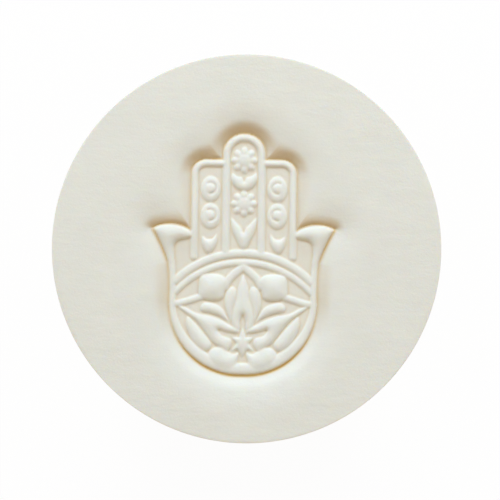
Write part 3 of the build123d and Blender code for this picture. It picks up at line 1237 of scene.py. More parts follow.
    def outer_half(self) -> np.ndarray:
        """Lists the right half of the hand's outer edge, from the bottom to the fingertip.

        The palm's radius swells by a share of the sine of the pace times the angle below
        level. Three arcs make the side and the thumb.

        Returns:
            The edge's points.
        """
        radius = self.palm_radius
        bottom = np.linspace(-QUARTER_TURN, 0.0, 28)
        full = radius * (self.palm_share - self.palm_swell * np.sin(self.swell_pace * bottom))
        palm = np.stack([full * np.cos(bottom), full * np.sin(bottom)], axis=-1)
        outer = self.side_half + self.side_bead / 2.0
        top = self.side_reach + self.side_bead / 2.0
        bend = self.corner_radius + self.side_bead / 2.0
        side = [(radius * x, radius * y) for x, y in self.side_shares]
        side.append((outer, radius * self.web_share))
        arcs = [arc_through(*three, 12) for three in zip(side[0::2], side[1::2], side[2::2])]
        thumb = np.concatenate([*arcs, [side[-1]]])[1:]
        turn = np.linspace(0.0, QUARTER_TURN, 20)
        corner = np.stack(
            [outer - bend + bend * np.cos(turn), top - bend + bend * np.sin(turn)], axis=-1
        )
        half = self.middle_half + self.middle_bead / 2.0
        tip = np.stack(
            [half * np.cos(turn), top + self.middle_stem + half * np.sin(turn)], axis=-1
        )
        return np.concatenate([palm, thumb, corner, np.array([[half, top]]), tip])

    def bead_paths(self) -> List[Tuple[np.ndarray, float, float]]:
        """Lists the round beads of the hand's right half.

        Returns:
            For each bead its middle line, its width and how many times the usual lip it has.
        """
        bend = np.linspace(0.0, QUARTER_TURN, 12)
        middle_top = self.side_reach + self.side_bead / 2.0 + self.middle_stem
        middle_bend = np.stack([np.cos(bend), np.sin(bend)], axis=-1) * self.middle_half
        foot = (self.middle_half, self.arch_top + self.middle_start)
        middle = np.concatenate([[foot], middle_bend + (0.0, middle_top)])
        corner_middle = (self.side_half - self.corner_radius, self.side_reach - self.corner_radius)
        side_bend = np.stack([np.cos(bend), np.sin(bend)], axis=-1) * self.corner_radius
        side = np.concatenate(
            [
                [[self.side_half, self.side_foot]],
                side_bend + corner_middle,
                [[self.middle_half, self.side_reach]],
            ]
        )
        inner_radius = self.arch_radius - self.arch_tightening
        return [
            (middle, self.middle_bead, self.finger_lip),
            (side, self.side_bead, self.finger_lip),
            (self.arch(self.arch_top, self.arch_radius), self.arch_bead, 1.0),
            (self.arch(self.arch_top - self.arch_step, inner_radius), self.lower_arch_bead, 1.0),
            (self.palm_radius * np.array(self.eye_bar), self.bar_bead, 1.0),
            (self.palm_radius * np.array(self.roof), self.roof_bead, 1.0),
        ]

    def arch(self, top: float, radius: float) -> np.ndarray:
        """Samples the right half of an arch over the palm.

        Args:
            top: How high its middle line runs over the palm's centre.
            radius: The radius of that line.

        Returns:
            Its points from the axis out to its end at the rim.
        """
        turn = np.linspace(0.0, math.asin(self.arch_end / radius), 24)
        return np.stack([radius * np.sin(turn), top - radius * (1.0 - np.cos(turn))], axis=-1)

    def rise(self, depth: np.ndarray, lip: Union[float, np.ndarray] = 1.0) -> np.ndarray:
        """Raises a form by a small lip at its edge, then evenly with the depth inside it.

        The lip is one less the exponential of the depth over the lip's reach.

        Args:
            depth: How deep inside the form the points lie.
            lip: How many times the usual lip it has.

        Returns:
            The height over the floor, zero outside the form.
        """
        held = np.clip(depth, 0.0, None)
        return lip * self.lip_rise * (1.0 - np.exp(-held / self.lip_reach)) + self.slope * held

    def bead(
        self, distance: np.ndarray, width: np.ndarray, lip: Union[float, np.ndarray] = 1.0
    ) -> np.ndarray:
        """Raises a round bead, whose depth is a parabola over its width.

        Args:
            distance: The points' distance from the bead's middle line.
            width: Its width at the foot.
            lip: How many times the usual lip it has.

        Returns:
            The height over the floor, zero beside the bead.
        """
        return self.rise(width / 4.0 * (1.0 - (2.0 * distance / width) ** 2), lip)

    def rim(self, gap: np.ndarray, u: np.ndarray, v: np.ndarray) -> np.ndarray:
        """Raises the palm's rim, a bead that follows the hand's edge and spreads downwards.

        Its width grows with the smooth step of the angle below level, and it fades out at
        the thumbs.

        Args:
            gap: The points' distance from the edge.
            u: Their distance from the hand's axis.
            v: Their place along it.

        Returns:
            The height over the floor.
        """
        downward = np.arctan2(-v, u) / math.radians(self.rim_spread_angle)
        width = self.rim_width + self.rim_spread * smoothstep(downward)
        held = smoothstep((self.rim_end_share * self.palm_radius - v) / self.rim_fade)
        return held * self.bead(gap - width / 2.0, width, self.rim_lip)

    def swell(self, u: np.ndarray, v: np.ndarray, form: Pillow) -> np.ndarray:
        """Raises a pillow by its smooth depth.

        Args:
            u: The points' distance from the hand's axis.
            v: Their place along it.
            form: The pillow.

        Returns:
            The height over the floor, zero outside.
        """
        points = self.palm_radius * np.array(form.shares)
        if form.on_axis:
            points = np.concatenate([points, points[::-1] * (-1.0, 1.0)])
        path = flowing(points)
        height = np.zeros(u.shape)
        low, high = path.min(axis=0), path.max(axis=0)
        near = (u > low[0]) & (u < high[0]) & (v > low[1]) & (v < high[1])
        within = inside_of(u[near], v[near], path)
        depth = np.where(within, smooth_distance(u[near], v[near], path), 0.0)
        height[near] = self.rise(depth, form.lip)
        return height

    def join(self, first: np.ndarray, second: np.ndarray) -> np.ndarray:
        """Takes the higher of two heights, with a small fillet where they meet.

        Args:
            first: One height over the floor.
            second: The other one.

        Returns:
            The joined height, unchanged where either is zero.
        """
        reach = np.minimum(self.blend, np.minimum(first, second)) + TINY
        overlap = np.clip(reach - np.abs(first - second), 0.0, None)
        return np.maximum(first, second) + overlap**2 / (4.0 * reach)

    def rosette(self, u: np.ndarray, v: np.ndarray, centre: float) -> np.ndarray:
        """Raises a flower: a low mound, a ring of oval petals and a broad round heart.

        The depth falls with the square of the distance from a petal's middle, and with the
        cube of that from the heart's.

        Args:
            u: The points' distance from the hand's axis.
            v: Their place along it.
            centre: Where the flower's centre lies along the axis.

        Returns:
            The height over the floor.
        """
        dy = v - centre
        radius, turn = np.hypot(u, dy), np.arctan2(dy, u)
        step = FULL_TURN / self.rosette_petals
        nearest = turn - np.round(turn / step) * step
        length, width = self.petal_size
        along = (radius * np.cos(nearest) - (self.rosette_radius - length)) / length
        across = radius * np.sin(nearest) / width
        petals = self.rise(width / 2.0 * (1.0 - along**2 - across**2))
        heart = self.rise(self.rosette_heart / 3.0 * (1.0 - (radius / self.rosette_heart) ** 3))
        mound = self.mound_rise * np.clip(1.0 - (radius / self.rosette_radius) ** 2, 0.0, None)
        return self.join(petals, heart) + mound

    def curl(self, u: np.ndarray, v: np.ndarray, centre: float) -> np.ndarray:
        """Raises a curl: an oval button with one hooked groove that leaves a dot inside.

        The groove is over half a circle on the side of the axis, and its depth falls with
        the square of the distance as a bell curve. The dot is a shallow dome.

        Args:
            u: The points' distance from the hand's axis.
            v: Their place along it.
            centre: Where the curl's centre lies along the axis.

        Returns:
            The height over the floor.
        """
        across = u - self.palm_radius * self.curl_across_share
        along = v - centre
        share = np.hypot(across / self.curl_halves[0], along / self.curl_halves[1])
        button = self.rise(self.curl_halves[0] / 3.0 * (1.0 - share**3))
        turn = np.radians(np.linspace(*self.groove_ends, 16))
        hook = self.groove_radius * np.stack([np.cos(turn), np.sin(turn)], axis=-1)
        near = distance_to(across, along, hook + self.dot_shift) / self.groove_width
        from_dot = np.hypot(across - self.dot_shift[0], along - self.dot_shift[1])
        button += self.dot_rise * np.clip(1.0 - (from_dot / self.dot_radius) ** 2, 0.0, None)
        return np.clip(button - self.groove_depth * np.exp(-(near**2)), 0.0, None)

    def ornament(self, u: np.ndarray, v: np.ndarray, gap: np.ndarray) -> np.ndarray:
        """Raises all beads, domes, leaves, flowers and curls of the hand.

        Args:
            u: The points' distance from the hand's axis.
            v: Their place along it.
            gap: Their distance from the hand's edge.

        Returns:
            The height over the floor.
        """
        total = self.rim(gap, u, v)
        over_arch = smoothstep((v - self.arch_top - self.finger_lip_start) / self.finger_lip_blend)
        for path, width, lip in self.bead_paths():
            lips = 1.0 + (lip - 1.0) * over_arch
            total = self.join(total, self.bead(distance_to(u, v, path), width, lips))
        forms = (
            self.thumb,
            self.big_dome,
            self.inner_leaf,
            self.side_leaf,
            self.wing,
            self.lens_leaf,
            self.base_dome,
            self.small_tulip,
            self.petal,
            self.base_drop,
            self.upper_tulip,
            self.lower_tulip,
            self.star,
        )
        for form in forms:
            total = self.join(total, self.swell(u, v, form))
        for share in self.rosette_centre_shares:
            total = self.join(total, self.rosette(u, v, self.palm_radius * share))
        for share in self.curl_centre_shares:
            total = self.join(total, self.curl(u, v, self.palm_radius * share))
        return total

    def height(self, x: np.ndarray, y: np.ndarray) -> Tuple[np.ndarray, np.ndarray, np.ndarray]:
        """Works out the face's relief.

        Outside the hand the clay falls to the edge as an even slope whose top is rounded by
        the logarithm of one plus an exponential, in a wide shallow dish. Inside, the ornament
        stands on a level floor. A bell-shaped crease runs along the edge. At the thumbs the
        slope is narrower and the floor higher, by shares that fall off as a bell.

        Args:
            x: The points' first coordinates on the face.
            y: Their second coordinates.

        Returns:
            The height over the face's plane, a mask that is 1 inside the hand, and the painted
            tan shade of the sunk clay: on slopes that face the wrist, away from the lamp, in the
            crease and on the floor.
        """
        across, v = self.to_hand(x, y)
        u = np.abs(across)
        edge = self.outer_half()
        gap = distance_to(u, v, edge)
        inside = inside_of(u, v, edge)
        away = smooth_distance(u, v, np.concatenate([edge, edge[::-1] * (-1.0, 1.0)]))
        from_thumb = np.hypot(u - self.thumb_top[0], v - self.thumb_top[1])
        at_thumb = np.exp(-((from_thumb / self.thumb_reach) ** 2))
        width = self.wall_width * (1.0 - self.thumb_narrow * at_thumb)
        floor = self.floor * (1.0 - self.thumb_lift * at_thumb)
        reach = (width - away) / self.wall_round
        foot = np.logaddexp(0.0, width / self.wall_round)
        dish = self.dish_depth * np.exp(-((away / self.dish_reach) ** 2))
        wall = (floor + self.dish_depth) * np.logaddexp(0.0, reach) / foot - dish
        raised = floor + np.where(inside, self.ornament(u, v, gap), 0.0)
        signed = np.where(inside, -gap, gap)
        crease = np.exp(-(((signed - self.crease_shift) / self.crease_width) ** 2))
        # Painted tan shade depends on whether the distance to the hand's edge grows upward or
        # downward.
        upward = np.gradient(signed, axis=0) / np.gradient(v, axis=0)
        # Painted shade in the crease: full along the hand's bottom, where the rim's outer flank is
        # turned from the lamp, and a smaller share elsewhere.
        downhill = smoothstep(-self.crease_shade_gain * upward - self.crease_shade_start)
        painted_crease_shade = self.crease_shade_share + (1.0 - self.crease_shade_share) * downhill
        # Painted shade on the walls above the hand, which face the wrist and away from the lamp. It is
        # less on the sides and absent below, and it fades away from the edge.
        turned_from_key = smoothstep(self.wall_shade_level + upward / self.wall_shade_spread)
        painted_wall_shade = self.wall_shade_strength * turned_from_key * smoothstep(0.5 + reach / self.wall_shade_fade)
        # Painted shade on the sunk floor, fading up the sides of the forms.
        painted_floor_shade = self.painted_floor_shade * smoothstep(1.0 - (raised - floor) / self.floor_shade_rise)
        return (
            np.where(inside, raised, wall) - self.crease_depth * crease,
            smoothstep(0.5 - signed / self.pressed_blend),
            np.clip(np.where(inside, painted_floor_shade, painted_wall_shade) + painted_crease_shade * crease, 0.0, 1.0),
        )


@dataclass
class ClayFace:
    """The round clay disc with the sunk hand."""

    columns: int = 252
    rows: int = 336
    column_density: float = 0.56
    column_power: int = 9
    row_density: float = 0.76
    row_power: int = 7
    row_shift: float = -0.05
    edge_radius: float = 0.06
    edge_steps: int = 3
    wall_rows: int = 5
    unevenness: float = 0.012
    uneven_wave: float = 7.0
    uneven_seed: int = 11
    # How wide a neighbourhood, how deep a hollow and how strong the painted shade in the hollows is.
    cavity_passes: int = 6
    cavity_depth: float = 0.1
    cavity_share: float = 0.38
    side_bulge: float = 0.05
    side_level: float = 0.08
    side_start: float = 0.6
    side_blend: float = 1.5
    side_drift: Point = (1.3, 0.8)
    side_wave: float = 6.0
    side_seed: int = 23
    relief: HandRelief = field(default_factory=HandRelief)

    def spread(self, count: int, density: float, power: int, shift: float) -> np.ndarray:
        """Places grid lines from -1 to 1, closer together around a shifted middle.

        A straight share and an odd power are added: the power takes what the share leaves.

        Args:
            count: How many lines there are.
            density: The straight share; smaller packs the middle closer.
            power: The odd power that spreads the ends.
            shift: How far the close stretch is moved.

        Returns:
            The lines' places.
        """
        even = np.linspace(-1.0, 1.0, count)
        packed = density * even + (1.0 - density) * even**power
        return packed + shift * (1.0 - packed**2)

    def surface(self) -> Surface:
        """Builds the disc as a square grid laid over a circle, with its edge, side and back.

        The first coordinate is X times the root of one less half of Y squared, and the second
        the same with X and Y exchanged, which lays the square's border on the circle. More
        painted tan shade is added where the clay lies below the mean of its neighbourhood.

        Returns:
            The disc's closed surface, with the values that its material reads.
        """
        disc = span("stamp_face")
        flat_radius = disc.radius - self.edge_radius
        square_x = self.spread(self.columns, self.column_density, self.column_power, 0.0)
        square_y = self.spread(self.rows, self.row_density, self.row_power, self.row_shift)
        across, along = np.meshgrid(square_x, square_y)
        x = flat_radius * across * np.sqrt(1.0 - along**2 / 2.0)
        y = flat_radius * along * np.sqrt(1.0 - across**2 / 2.0)
        # The relief's third value, tan, is its painted tan shade.
        height, pressed, tan = self.relief.height(x, y)
        height = self.soften(height, 1)
        inward = 1.0 - np.hypot(x, y) / disc.radius
        height += self.unevenness * waves(x, y, self.uneven_wave, self.uneven_seed) * inward
        # Painted shade in the hollows: where the clay lies below the mean of its neighbourhood, inside
        # the hand.
        below_mean = (self.soften(height, self.cavity_passes) - height) / self.cavity_depth
        painted_cavity_shade = self.cavity_share * np.clip(below_mean, 0.0, 1.0)
        painted_shade = np.clip(tan + painted_cavity_shade * pressed, 0.0, 1.0)
        top = np.stack([x, y, disc.top + np.minimum(height, 0.0)], axis=-1).reshape(-1, 3)
        index = np.arange(self.rows * self.columns).reshape(self.rows, self.columns)
        rim = np.concatenate(
            [index[0, :-1], index[:-1, -1], index[-1, :0:-1], index[:0:-1, 0]]
        )
        faces = quads(index).tolist()
        border = self.border(top[rim], disc)
        count, ring_size = len(top), len(rim)
        border_index = count + np.arange(border.shape[0] * ring_size)
        rings = np.concatenate([rim, border_index]).reshape(-1, ring_size)
        faces += quads(around(rings[::-1])).tolist()
        pole = count + border.shape[0] * ring_size
        faces += fan(rings[-1], pole, upward=False).tolist()
        points = np.concatenate([top, border.reshape(-1, 3), [[0.0, 0.0, disc.bottom]]])
        rest = np.zeros(len(points) - count)
        # The material reads the painted shade's mask as a point attribute.
        return Surface(
            points,
            faces,
            {
                "pressed": np.concatenate([pressed.ravel(), rest]),
                "painted_shade": np.concatenate([painted_shade.ravel(), rest]),
            },
        )

    def border(self, rim: np.ndarray, disc: Span) -> np.ndarray:
        """Carries the grid's border round the edge and down the side to the back.

        The two edges are quarter circles. The side is drawn in by sine waves that drift along
        the rim on the way down.

        Args:
            rim: The border's points, counterclockwise from above.
            disc: The disc's radius, bottom and top.

        Returns:
            Rings of points, each as long as the rim, from top to bottom.
        """
        turn = np.arctan2(rim[:, 1], rim[:, 0])
        bend = np.linspace(0.0, QUARTER_TURN, self.edge_steps + 1)[1:]
        inset = self.edge_radius * (1.0 - np.sin(bend))
        drop = self.edge_radius * (1.0 - np.cos(bend))
        lower = np.linspace(drop[-1], disc.top - disc.bottom - self.edge_radius, self.wall_rows)[1:]
        insets = np.concatenate([inset, np.zeros(lower.size), inset[::-1]])
        drops = np.concatenate([drop, lower, disc.top - disc.bottom - drop[::-1]])
        down = drops[:, None]
        x, y = rim[:, 0] + self.side_drift[0] * down, rim[:, 1] + self.side_drift[1] * down
        bulge = self.side_bulge * waves(x, y, self.side_wave, self.side_seed)
        bulge = np.clip(bulge + self.side_level, 0.0, None)
        bulge = bulge * smoothstep((down - self.side_start) / self.side_blend)
        radius = disc.radius - insets[:, None] - bulge
        return np.stack(
            [
                radius * np.cos(turn),
                radius * np.sin(turn),
                np.broadcast_to(disc.top - drops[:, None], radius.shape),
            ],
            axis=-1,
        )

    def soften(self, height: np.ndarray, passes: int) -> np.ndarray:
        """Averages each height with its neighbours, one, two and one parts each way.

        Args:
            height: The heights on the grid.
            passes: How often to average.

        Returns:
            The softened heights, with the border kept.
        """
        soft = height.copy()
        for _ in range(passes):
            soft[1:-1] = (soft[:-2] + 2.0 * soft[1:-1] + soft[2:]) / 4.0
            soft[:, 1:-1] = (soft[:, :-2] + 2.0 * soft[:, 1:-1] + soft[:, 2:]) / 4.0
        return soft

    def build(self, clay: bpy.types.Material) -> List[bpy.types.Object]:
        """Makes the clay disc.

        Args:
            clay: Its material.

        Returns:
            The piece, in a list.
        """
        return [make_piece("clay_face", self.surface(), Body.HEAD, "stamp_face", clay)]


# Turned pieces under the face


@dataclass
class Head:
    """What carries the clay face: cork bedding, turned plate, flange, screws, pin and stud."""

    cork_edge: float = 0.2
    cork_flat: float = 1.0
    cork_steps: int = 9
    cork_segments: int = 1152
    torn_depth: float = 0.05
    torn_reach: float = 0.6
    torn_blend: float = 0.4
    torn_stretch: Point = (3.0, 2.0)
    torn_wave: float = 2.4
    torn_seed: int = 5
    plate_round: float = 3.6
    plate_edge: float = 0.5
    segments: int = 192
    stud_chamfer: float = 0.5
    seat_step: float = 0.1
    thread_pitch: float = 1.0
    thread_depth: float = 0.6
    crest_share: float = 0.125
    root_share: float = 0.25
    waist_length: float = 1.2
    thread_rows: int = 16
    thread_segments: int = 64

    def cork(self, finish: bpy.types.Material) -> bpy.types.Object:
        """Makes the cork sheet, whose cut edge is rough from torn granules.

        The edge's radius falls with the fourth power of the height from its middle, less an
        uneven amount that is summed from sine waves.

        Args:
            finish: The cork's material.

        Returns:
            The new piece.
        """
        disc = span("bond_cushion")
        share = np.linspace(-1.0, 1.0, self.cork_steps)
        side = np.stack(
            [
                disc.radius - self.cork_edge * share**4,
                np.linspace(disc.bottom, disc.top, self.cork_steps),
            ],
            axis=-1,
        )
        flat = disc.radius - self.cork_flat
        below, above = [[0.0, disc.bottom], [flat, disc.bottom]], [[flat, disc.top], [0.0, disc.top]]
        shape = revolve(np.concatenate([below, side, above]), self.cork_segments)
        x, y, z = shape.points.T
        level, upright = self.torn_stretch
        torn = waves(level * x + upright * z, level * y - upright * z, self.torn_wave, self.torn_seed)
        edge = smoothstep((np.hypot(x, y) - disc.radius + self.torn_reach) / self.torn_blend)
        inset = self.torn_depth * np.clip(torn + 1.0, 0.0, None) * edge
        shape.points[:, :2] *= (1.0 - inset / disc.radius)[:, None]
        return make_piece("cork_sheet", shape, Body.HEAD, "bond_cushion", finish)

    def plate(self, finish: bpy.types.Material) -> bpy.types.Object:
        """Makes the turned plate: level above, its lower edge rounded for the fingers.

        Args:
            finish: The plate's material.

        Returns:
            The new piece.
        """
        disc = span("mount_plate")
        profile = rounded(
            [
                (0.0, disc.bottom, 0.0),
                (disc.radius, disc.bottom, self.plate_round),
                (disc.radius, disc.top, self.plate_edge),
                (0.0, disc.top, 0.0),
            ]
        )
        shape = revolve(profile, self.segments)
        return make_piece("beech_plate", shape, Body.HEAD, "mount_plate", finish)

    def stud(self, finish: bpy.types.Material) -> bpy.types.Object:
        """Makes the threaded stud.

        A point's radius is the smaller of a plain turned profile and of the thread, whose
        depth depends on the height in pitches less the share of a turn. That makes one
        right-handed ridge with a flat crest and a flat root.

        Args:
            finish: The stud's material.

        Returns:
            The new piece.
        """
        stud = span("head_stud")
        seat = span("stud_flange").bottom
        waist = seat - self.waist_length
        rows = round((waist - stud.bottom) * self.thread_rows / self.thread_pitch) + 1
        plain_rows = [waist + self.seat_step, seat - self.seat_step, seat, stud.top]
        height = np.concatenate([np.linspace(stud.bottom, waist, rows), plain_rows])
        core = stud.radius - self.thread_depth
        plain = np.interp(
            height,
            [stud.bottom, stud.bottom + self.stud_chamfer, waist - self.stud_chamfer, waist, seat],
            [stud.radius - self.stud_chamfer, stud.radius, stud.radius, core, core],
        )
        turn = np.linspace(0.0, 1.0, self.thread_segments, endpoint=False)
        phase = height[:, None] / self.thread_pitch - turn
        off_crest = 2.0 * np.abs(phase - np.floor(phase) - 0.5)
        flank = (off_crest - self.crest_share) / (1.0 - self.crest_share - self.root_share)
        thread = stud.radius - self.thread_depth * np.clip(flank, 0.0, 1.0)
        radius = np.minimum(plain[:, None], thread)
        points = np.stack(
            [
                radius * np.cos(FULL_TURN * turn),
                radius * np.sin(FULL_TURN * turn),
                np.broadcast_to(height[:, None], radius.shape),
            ],
            axis=-1,
        ).reshape(-1, 3)
        index = np.arange(len(points)).reshape(radius.shape)
        faces = quads(around(index)).tolist()
        faces += fan(index[0], len(points), upward=False).tolist()
        faces += fan(index[-1], len(points) + 1, upward=True).tolist()
        poles = [[0.0, 0.0, stud.bottom], [0.0, 0.0, stud.top]]
        shape = Surface(np.concatenate([points, poles]), faces)
        return make_piece("threaded_stud", shape, Body.HEAD, "head_stud", finish)

    def build(
        self,
        cork: bpy.types.Material,
        beech: bpy.types.Material,
        brass: bpy.types.Material,
        screw_brass: bpy.types.Material,
    ) -> List[bpy.types.Object]:
        """Makes and dresses the pieces between the clay and the handle.

        Args:
            cork: The bedding's material.
            beech: The plate's.
            brass: The flange's, the stud's and the pin's.
            screw_brass: The screws'.

        Returns:
            The pieces.
        """
        return [
            self.cork(cork),
            self.plate(beech),
            self.stud(brass),
            dress("stud_flange", brass),
            dress("index_pin", brass),
            dress("flange_screws", screw_brass),
        ]


@dataclass
class Washer:
    """The thrust washer that the head is screwed down on."""

    bore_radius: float = 3.15
    edge: float = 0.15
    segments: int = 128

    def build(self, fibre: bpy.types.Material) -> List[bpy.types.Object]:
        """Makes the punched washer with its edges just broken.

        Args:
            fibre: Its material.

        Returns:
            The piece, in a list.
        """
        disc = span("thrust_washer")
        profile = rounded(
            [
                (self.bore_radius, disc.bottom, self.edge),
                (disc.radius, disc.bottom, self.edge),
                (disc.radius, disc.top, self.edge),
                (self.bore_radius, disc.top, self.edge),
            ],
            closed=True,
        )
        shape = revolve(profile, self.segments, closed=True)
        return [make_piece("fibre_washer", shape, Body.WASHER, "thrust_washer", fibre)]


@dataclass
class Handle:
    """The turned handle: grip, ferrule with its pins, threaded insert and felt foot."""

    foot_radius: float = 12.0
    foot_edge: float = 0.8
    knob_height: float = 10.6
    knob_steps: int = 36
    shoulder_radius: float = 13.4
    shoulder_height: float = 19.0
    neck_radius: float = 8.6
    neck_height: float = 25.0
    neck_steps: int = 16
    # How many times taller a neck curve is than the two handles that shape it.
    neck_ease: float = 2.6
    flare_share: float = 0.7
    flare_steps: int = 10
    ring_height: float = 2.6
    ring_side: float = 9.6
    ring_radius: float = 10.9
    ring_steps: int = 14
    tenon_radius: float = 8.6
    tenon_length: float = 6.0
    bore_radius: float = 4.98
    bore_depth: float = 14.7
    end_edge: float = 0.2
    ferrule_wall: float = 0.8
    ferrule_edge: float = 0.5
    mouth_radius: float = 5.53
    lip_edge: float = 0.1
    turned_line_depth: float = 0.14
    turned_line_width: float = 0.34
    turned_line_heights: Point = (0.9, 1.5)
    turned_line_steps: int = 9
    felt_bulge: float = 0.35
    felt_steps: int = 13
    felt_ring_shares: Point = (0.3, 0.93)
    felt_rings: int = 8
    felt_segments: int = 288
    felt_unevenness: float = 0.06
    felt_edge_share: float = 0.85
    felt_blend_share: float = 0.12
    felt_wave: float = 2.2
    felt_seed: int = 31
    segments: int = 192

    def grip(self, finish: bpy.types.Material) -> bpy.types.Object:
        """Makes the grip from one profile.

        An arc makes the knob, two cubic curves the neck, a half round the ring, and straight
        runs the tenon and its bore.

        Args:
            finish: The grip's material.

        Returns:
            The new piece.
        """
        grip = span("handle_grip")
        foot = (self.foot_radius, grip.bottom)
        knob = (grip.radius, grip.bottom + self.knob_height)
        shoulder = (self.shoulder_radius, grip.bottom + self.shoulder_height)
        neck = (self.neck_radius, grip.bottom + self.neck_height)
        tenon_bottom = grip.top - self.tenon_length
        ring_end = (self.ring_side, tenon_bottom)
        ring_middle = (self.ring_radius, tenon_bottom - self.ring_height / 2.0)
        ring_start = (self.ring_side, tenon_bottom - self.ring_height)
        swell = arc_through(foot, knob, shoulder, self.knob_steps)
        slope = np.array(shoulder) - swell[-1]
        slope /= np.hypot(*slope)
        reach = (self.neck_height - self.shoulder_height) / self.neck_ease
        flare = (ring_start[1] - neck[1]) / self.neck_ease
        pull = self.flare_share * flare
        curves = [
            swell[1:],
            cubic(
                shoulder,
                tuple(np.array(shoulder) + slope * reach),
                (neck[0], neck[1] - reach),
                neck,
                self.neck_steps,
            ),
            cubic(
                neck,
                (neck[0], neck[1] + flare),
                (ring_start[0] - pull, ring_start[1] - pull),
                ring_start,
                self.flare_steps,
            ),
            arc_through(ring_start, ring_middle, ring_end, self.ring_steps),
        ]
        free = [(radius, height, 0.0) for radius, height in np.concatenate(curves)]
        bore_bottom = grip.top - self.bore_depth
        corners = [
            (0.0, grip.bottom, 0.0),
            (*foot, self.foot_edge),
            *free,
            (*ring_end, 0.0),
            (self.tenon_radius, tenon_bottom, 0.0),
            (self.tenon_radius, grip.top, self.end_edge),
            (self.bore_radius, grip.top, self.end_edge),
            (self.bore_radius, bore_bottom, self.end_edge),
            (0.0, bore_bottom, 0.0),
        ]
        shape = revolve(rounded(corners), self.segments)
        return make_piece("turned_grip", shape, Body.HANDLE, "handle_grip", finish)

    def ferrule(self, finish: bpy.types.Material) -> bpy.types.Object:
        """Makes the ferrule: a ring with a top, and two turned lines round its skirt.

        A turned line is a groove with a cosine section.

        Args:
            finish: The ferrule's material.

        Returns:
            The new piece.
        """
        cup = span("ferrule")
        inner = cup.radius - self.ferrule_wall
        ceiling = cup.top - self.ferrule_wall
        across = np.linspace(-1.0, 1.0, self.turned_line_steps)
        lines = []
        for height in self.turned_line_heights:
            depth = self.turned_line_depth * (0.5 + 0.5 * np.cos(math.pi * across))
            row = cup.bottom + height + self.turned_line_width / 2.0 * across
            lines += [(r, z, 0.0) for r, z in np.stack([cup.radius - depth, row], axis=-1)]
        profile = rounded(
            [
                (inner, cup.bottom, self.lip_edge),
                (cup.radius, cup.bottom, self.lip_edge),
                *lines,
                (cup.radius, cup.top, self.ferrule_edge),
                (self.mouth_radius, cup.top, self.lip_edge),
                (self.mouth_radius, ceiling, self.lip_edge),
                (inner, ceiling, self.lip_edge),
            ],
            closed=True,
        )
        shape = revolve(profile, self.segments, closed=True)
        return make_piece("brass_ferrule", shape, Body.HANDLE, "ferrule", finish)

    def felt(self, finish: bpy.types.Material) -> bpy.types.Object:
        """Makes the felt disc, whose cut edge bulges and is a little uneven.

        The edge's radius falls with the fourth power of the height from its middle.

        Args:
            finish: The felt's material.

        Returns:
            The new piece.
        """
        disc = span("foot_pad")
        share = np.linspace(-1.0, 1.0, self.felt_steps)
        side = np.stack(
            [
                disc.radius - self.felt_bulge * share**4,
                disc.bottom + (disc.top - disc.bottom) * (share + 1.0) / 2.0,
            ],
            axis=-1,
        )
        rings = np.linspace(*self.felt_ring_shares, self.felt_rings)[:, None]
        below = np.concatenate([disc.radius * rings, np.full(rings.shape, disc.bottom)], axis=1)
        above = np.concatenate([below[::-1, :1], np.full(rings.shape, disc.top)], axis=1)
        poles = np.array([[0.0, disc.bottom], [0.0, disc.top]])
        profile = np.concatenate([poles[:1], below, side, above, poles[1:]])
        shape = revolve(profile, self.felt_segments)
        x, y = shape.points[:, 0], shape.points[:, 1]
        uneven = np.clip(waves(x, y, self.felt_wave, self.felt_seed) + 1.0, 0.0, None)
        out = np.hypot(x, y) / disc.radius
        edge = smoothstep((out - self.felt_edge_share) / self.felt_blend_share)
        inset = self.felt_unevenness * uneven * edge
        shape.points[:, :2] *= (1.0 - inset / disc.radius)[:, None]
        piece = make_piece("felt_foot", shape, Body.HANDLE, "foot_pad", finish)
        return piece

    def build(
        self, beech: bpy.types.Material, brass: bpy.types.Material, felt: bpy.types.Material
    ) -> List[bpy.types.Object]:
        """Makes and dresses the handle's pieces.

        Args:
            beech: The grip's material.
            brass: The ferrule's, its pins' and the insert's.
            felt: The foot's.

        Returns:
            The pieces.
        """
        return [
            self.grip(beech),
            self.ferrule(brass),
            self.felt(felt),
            dress("ferrule_pins", brass),
            dress("threaded_insert", brass),
        ]


# Studio


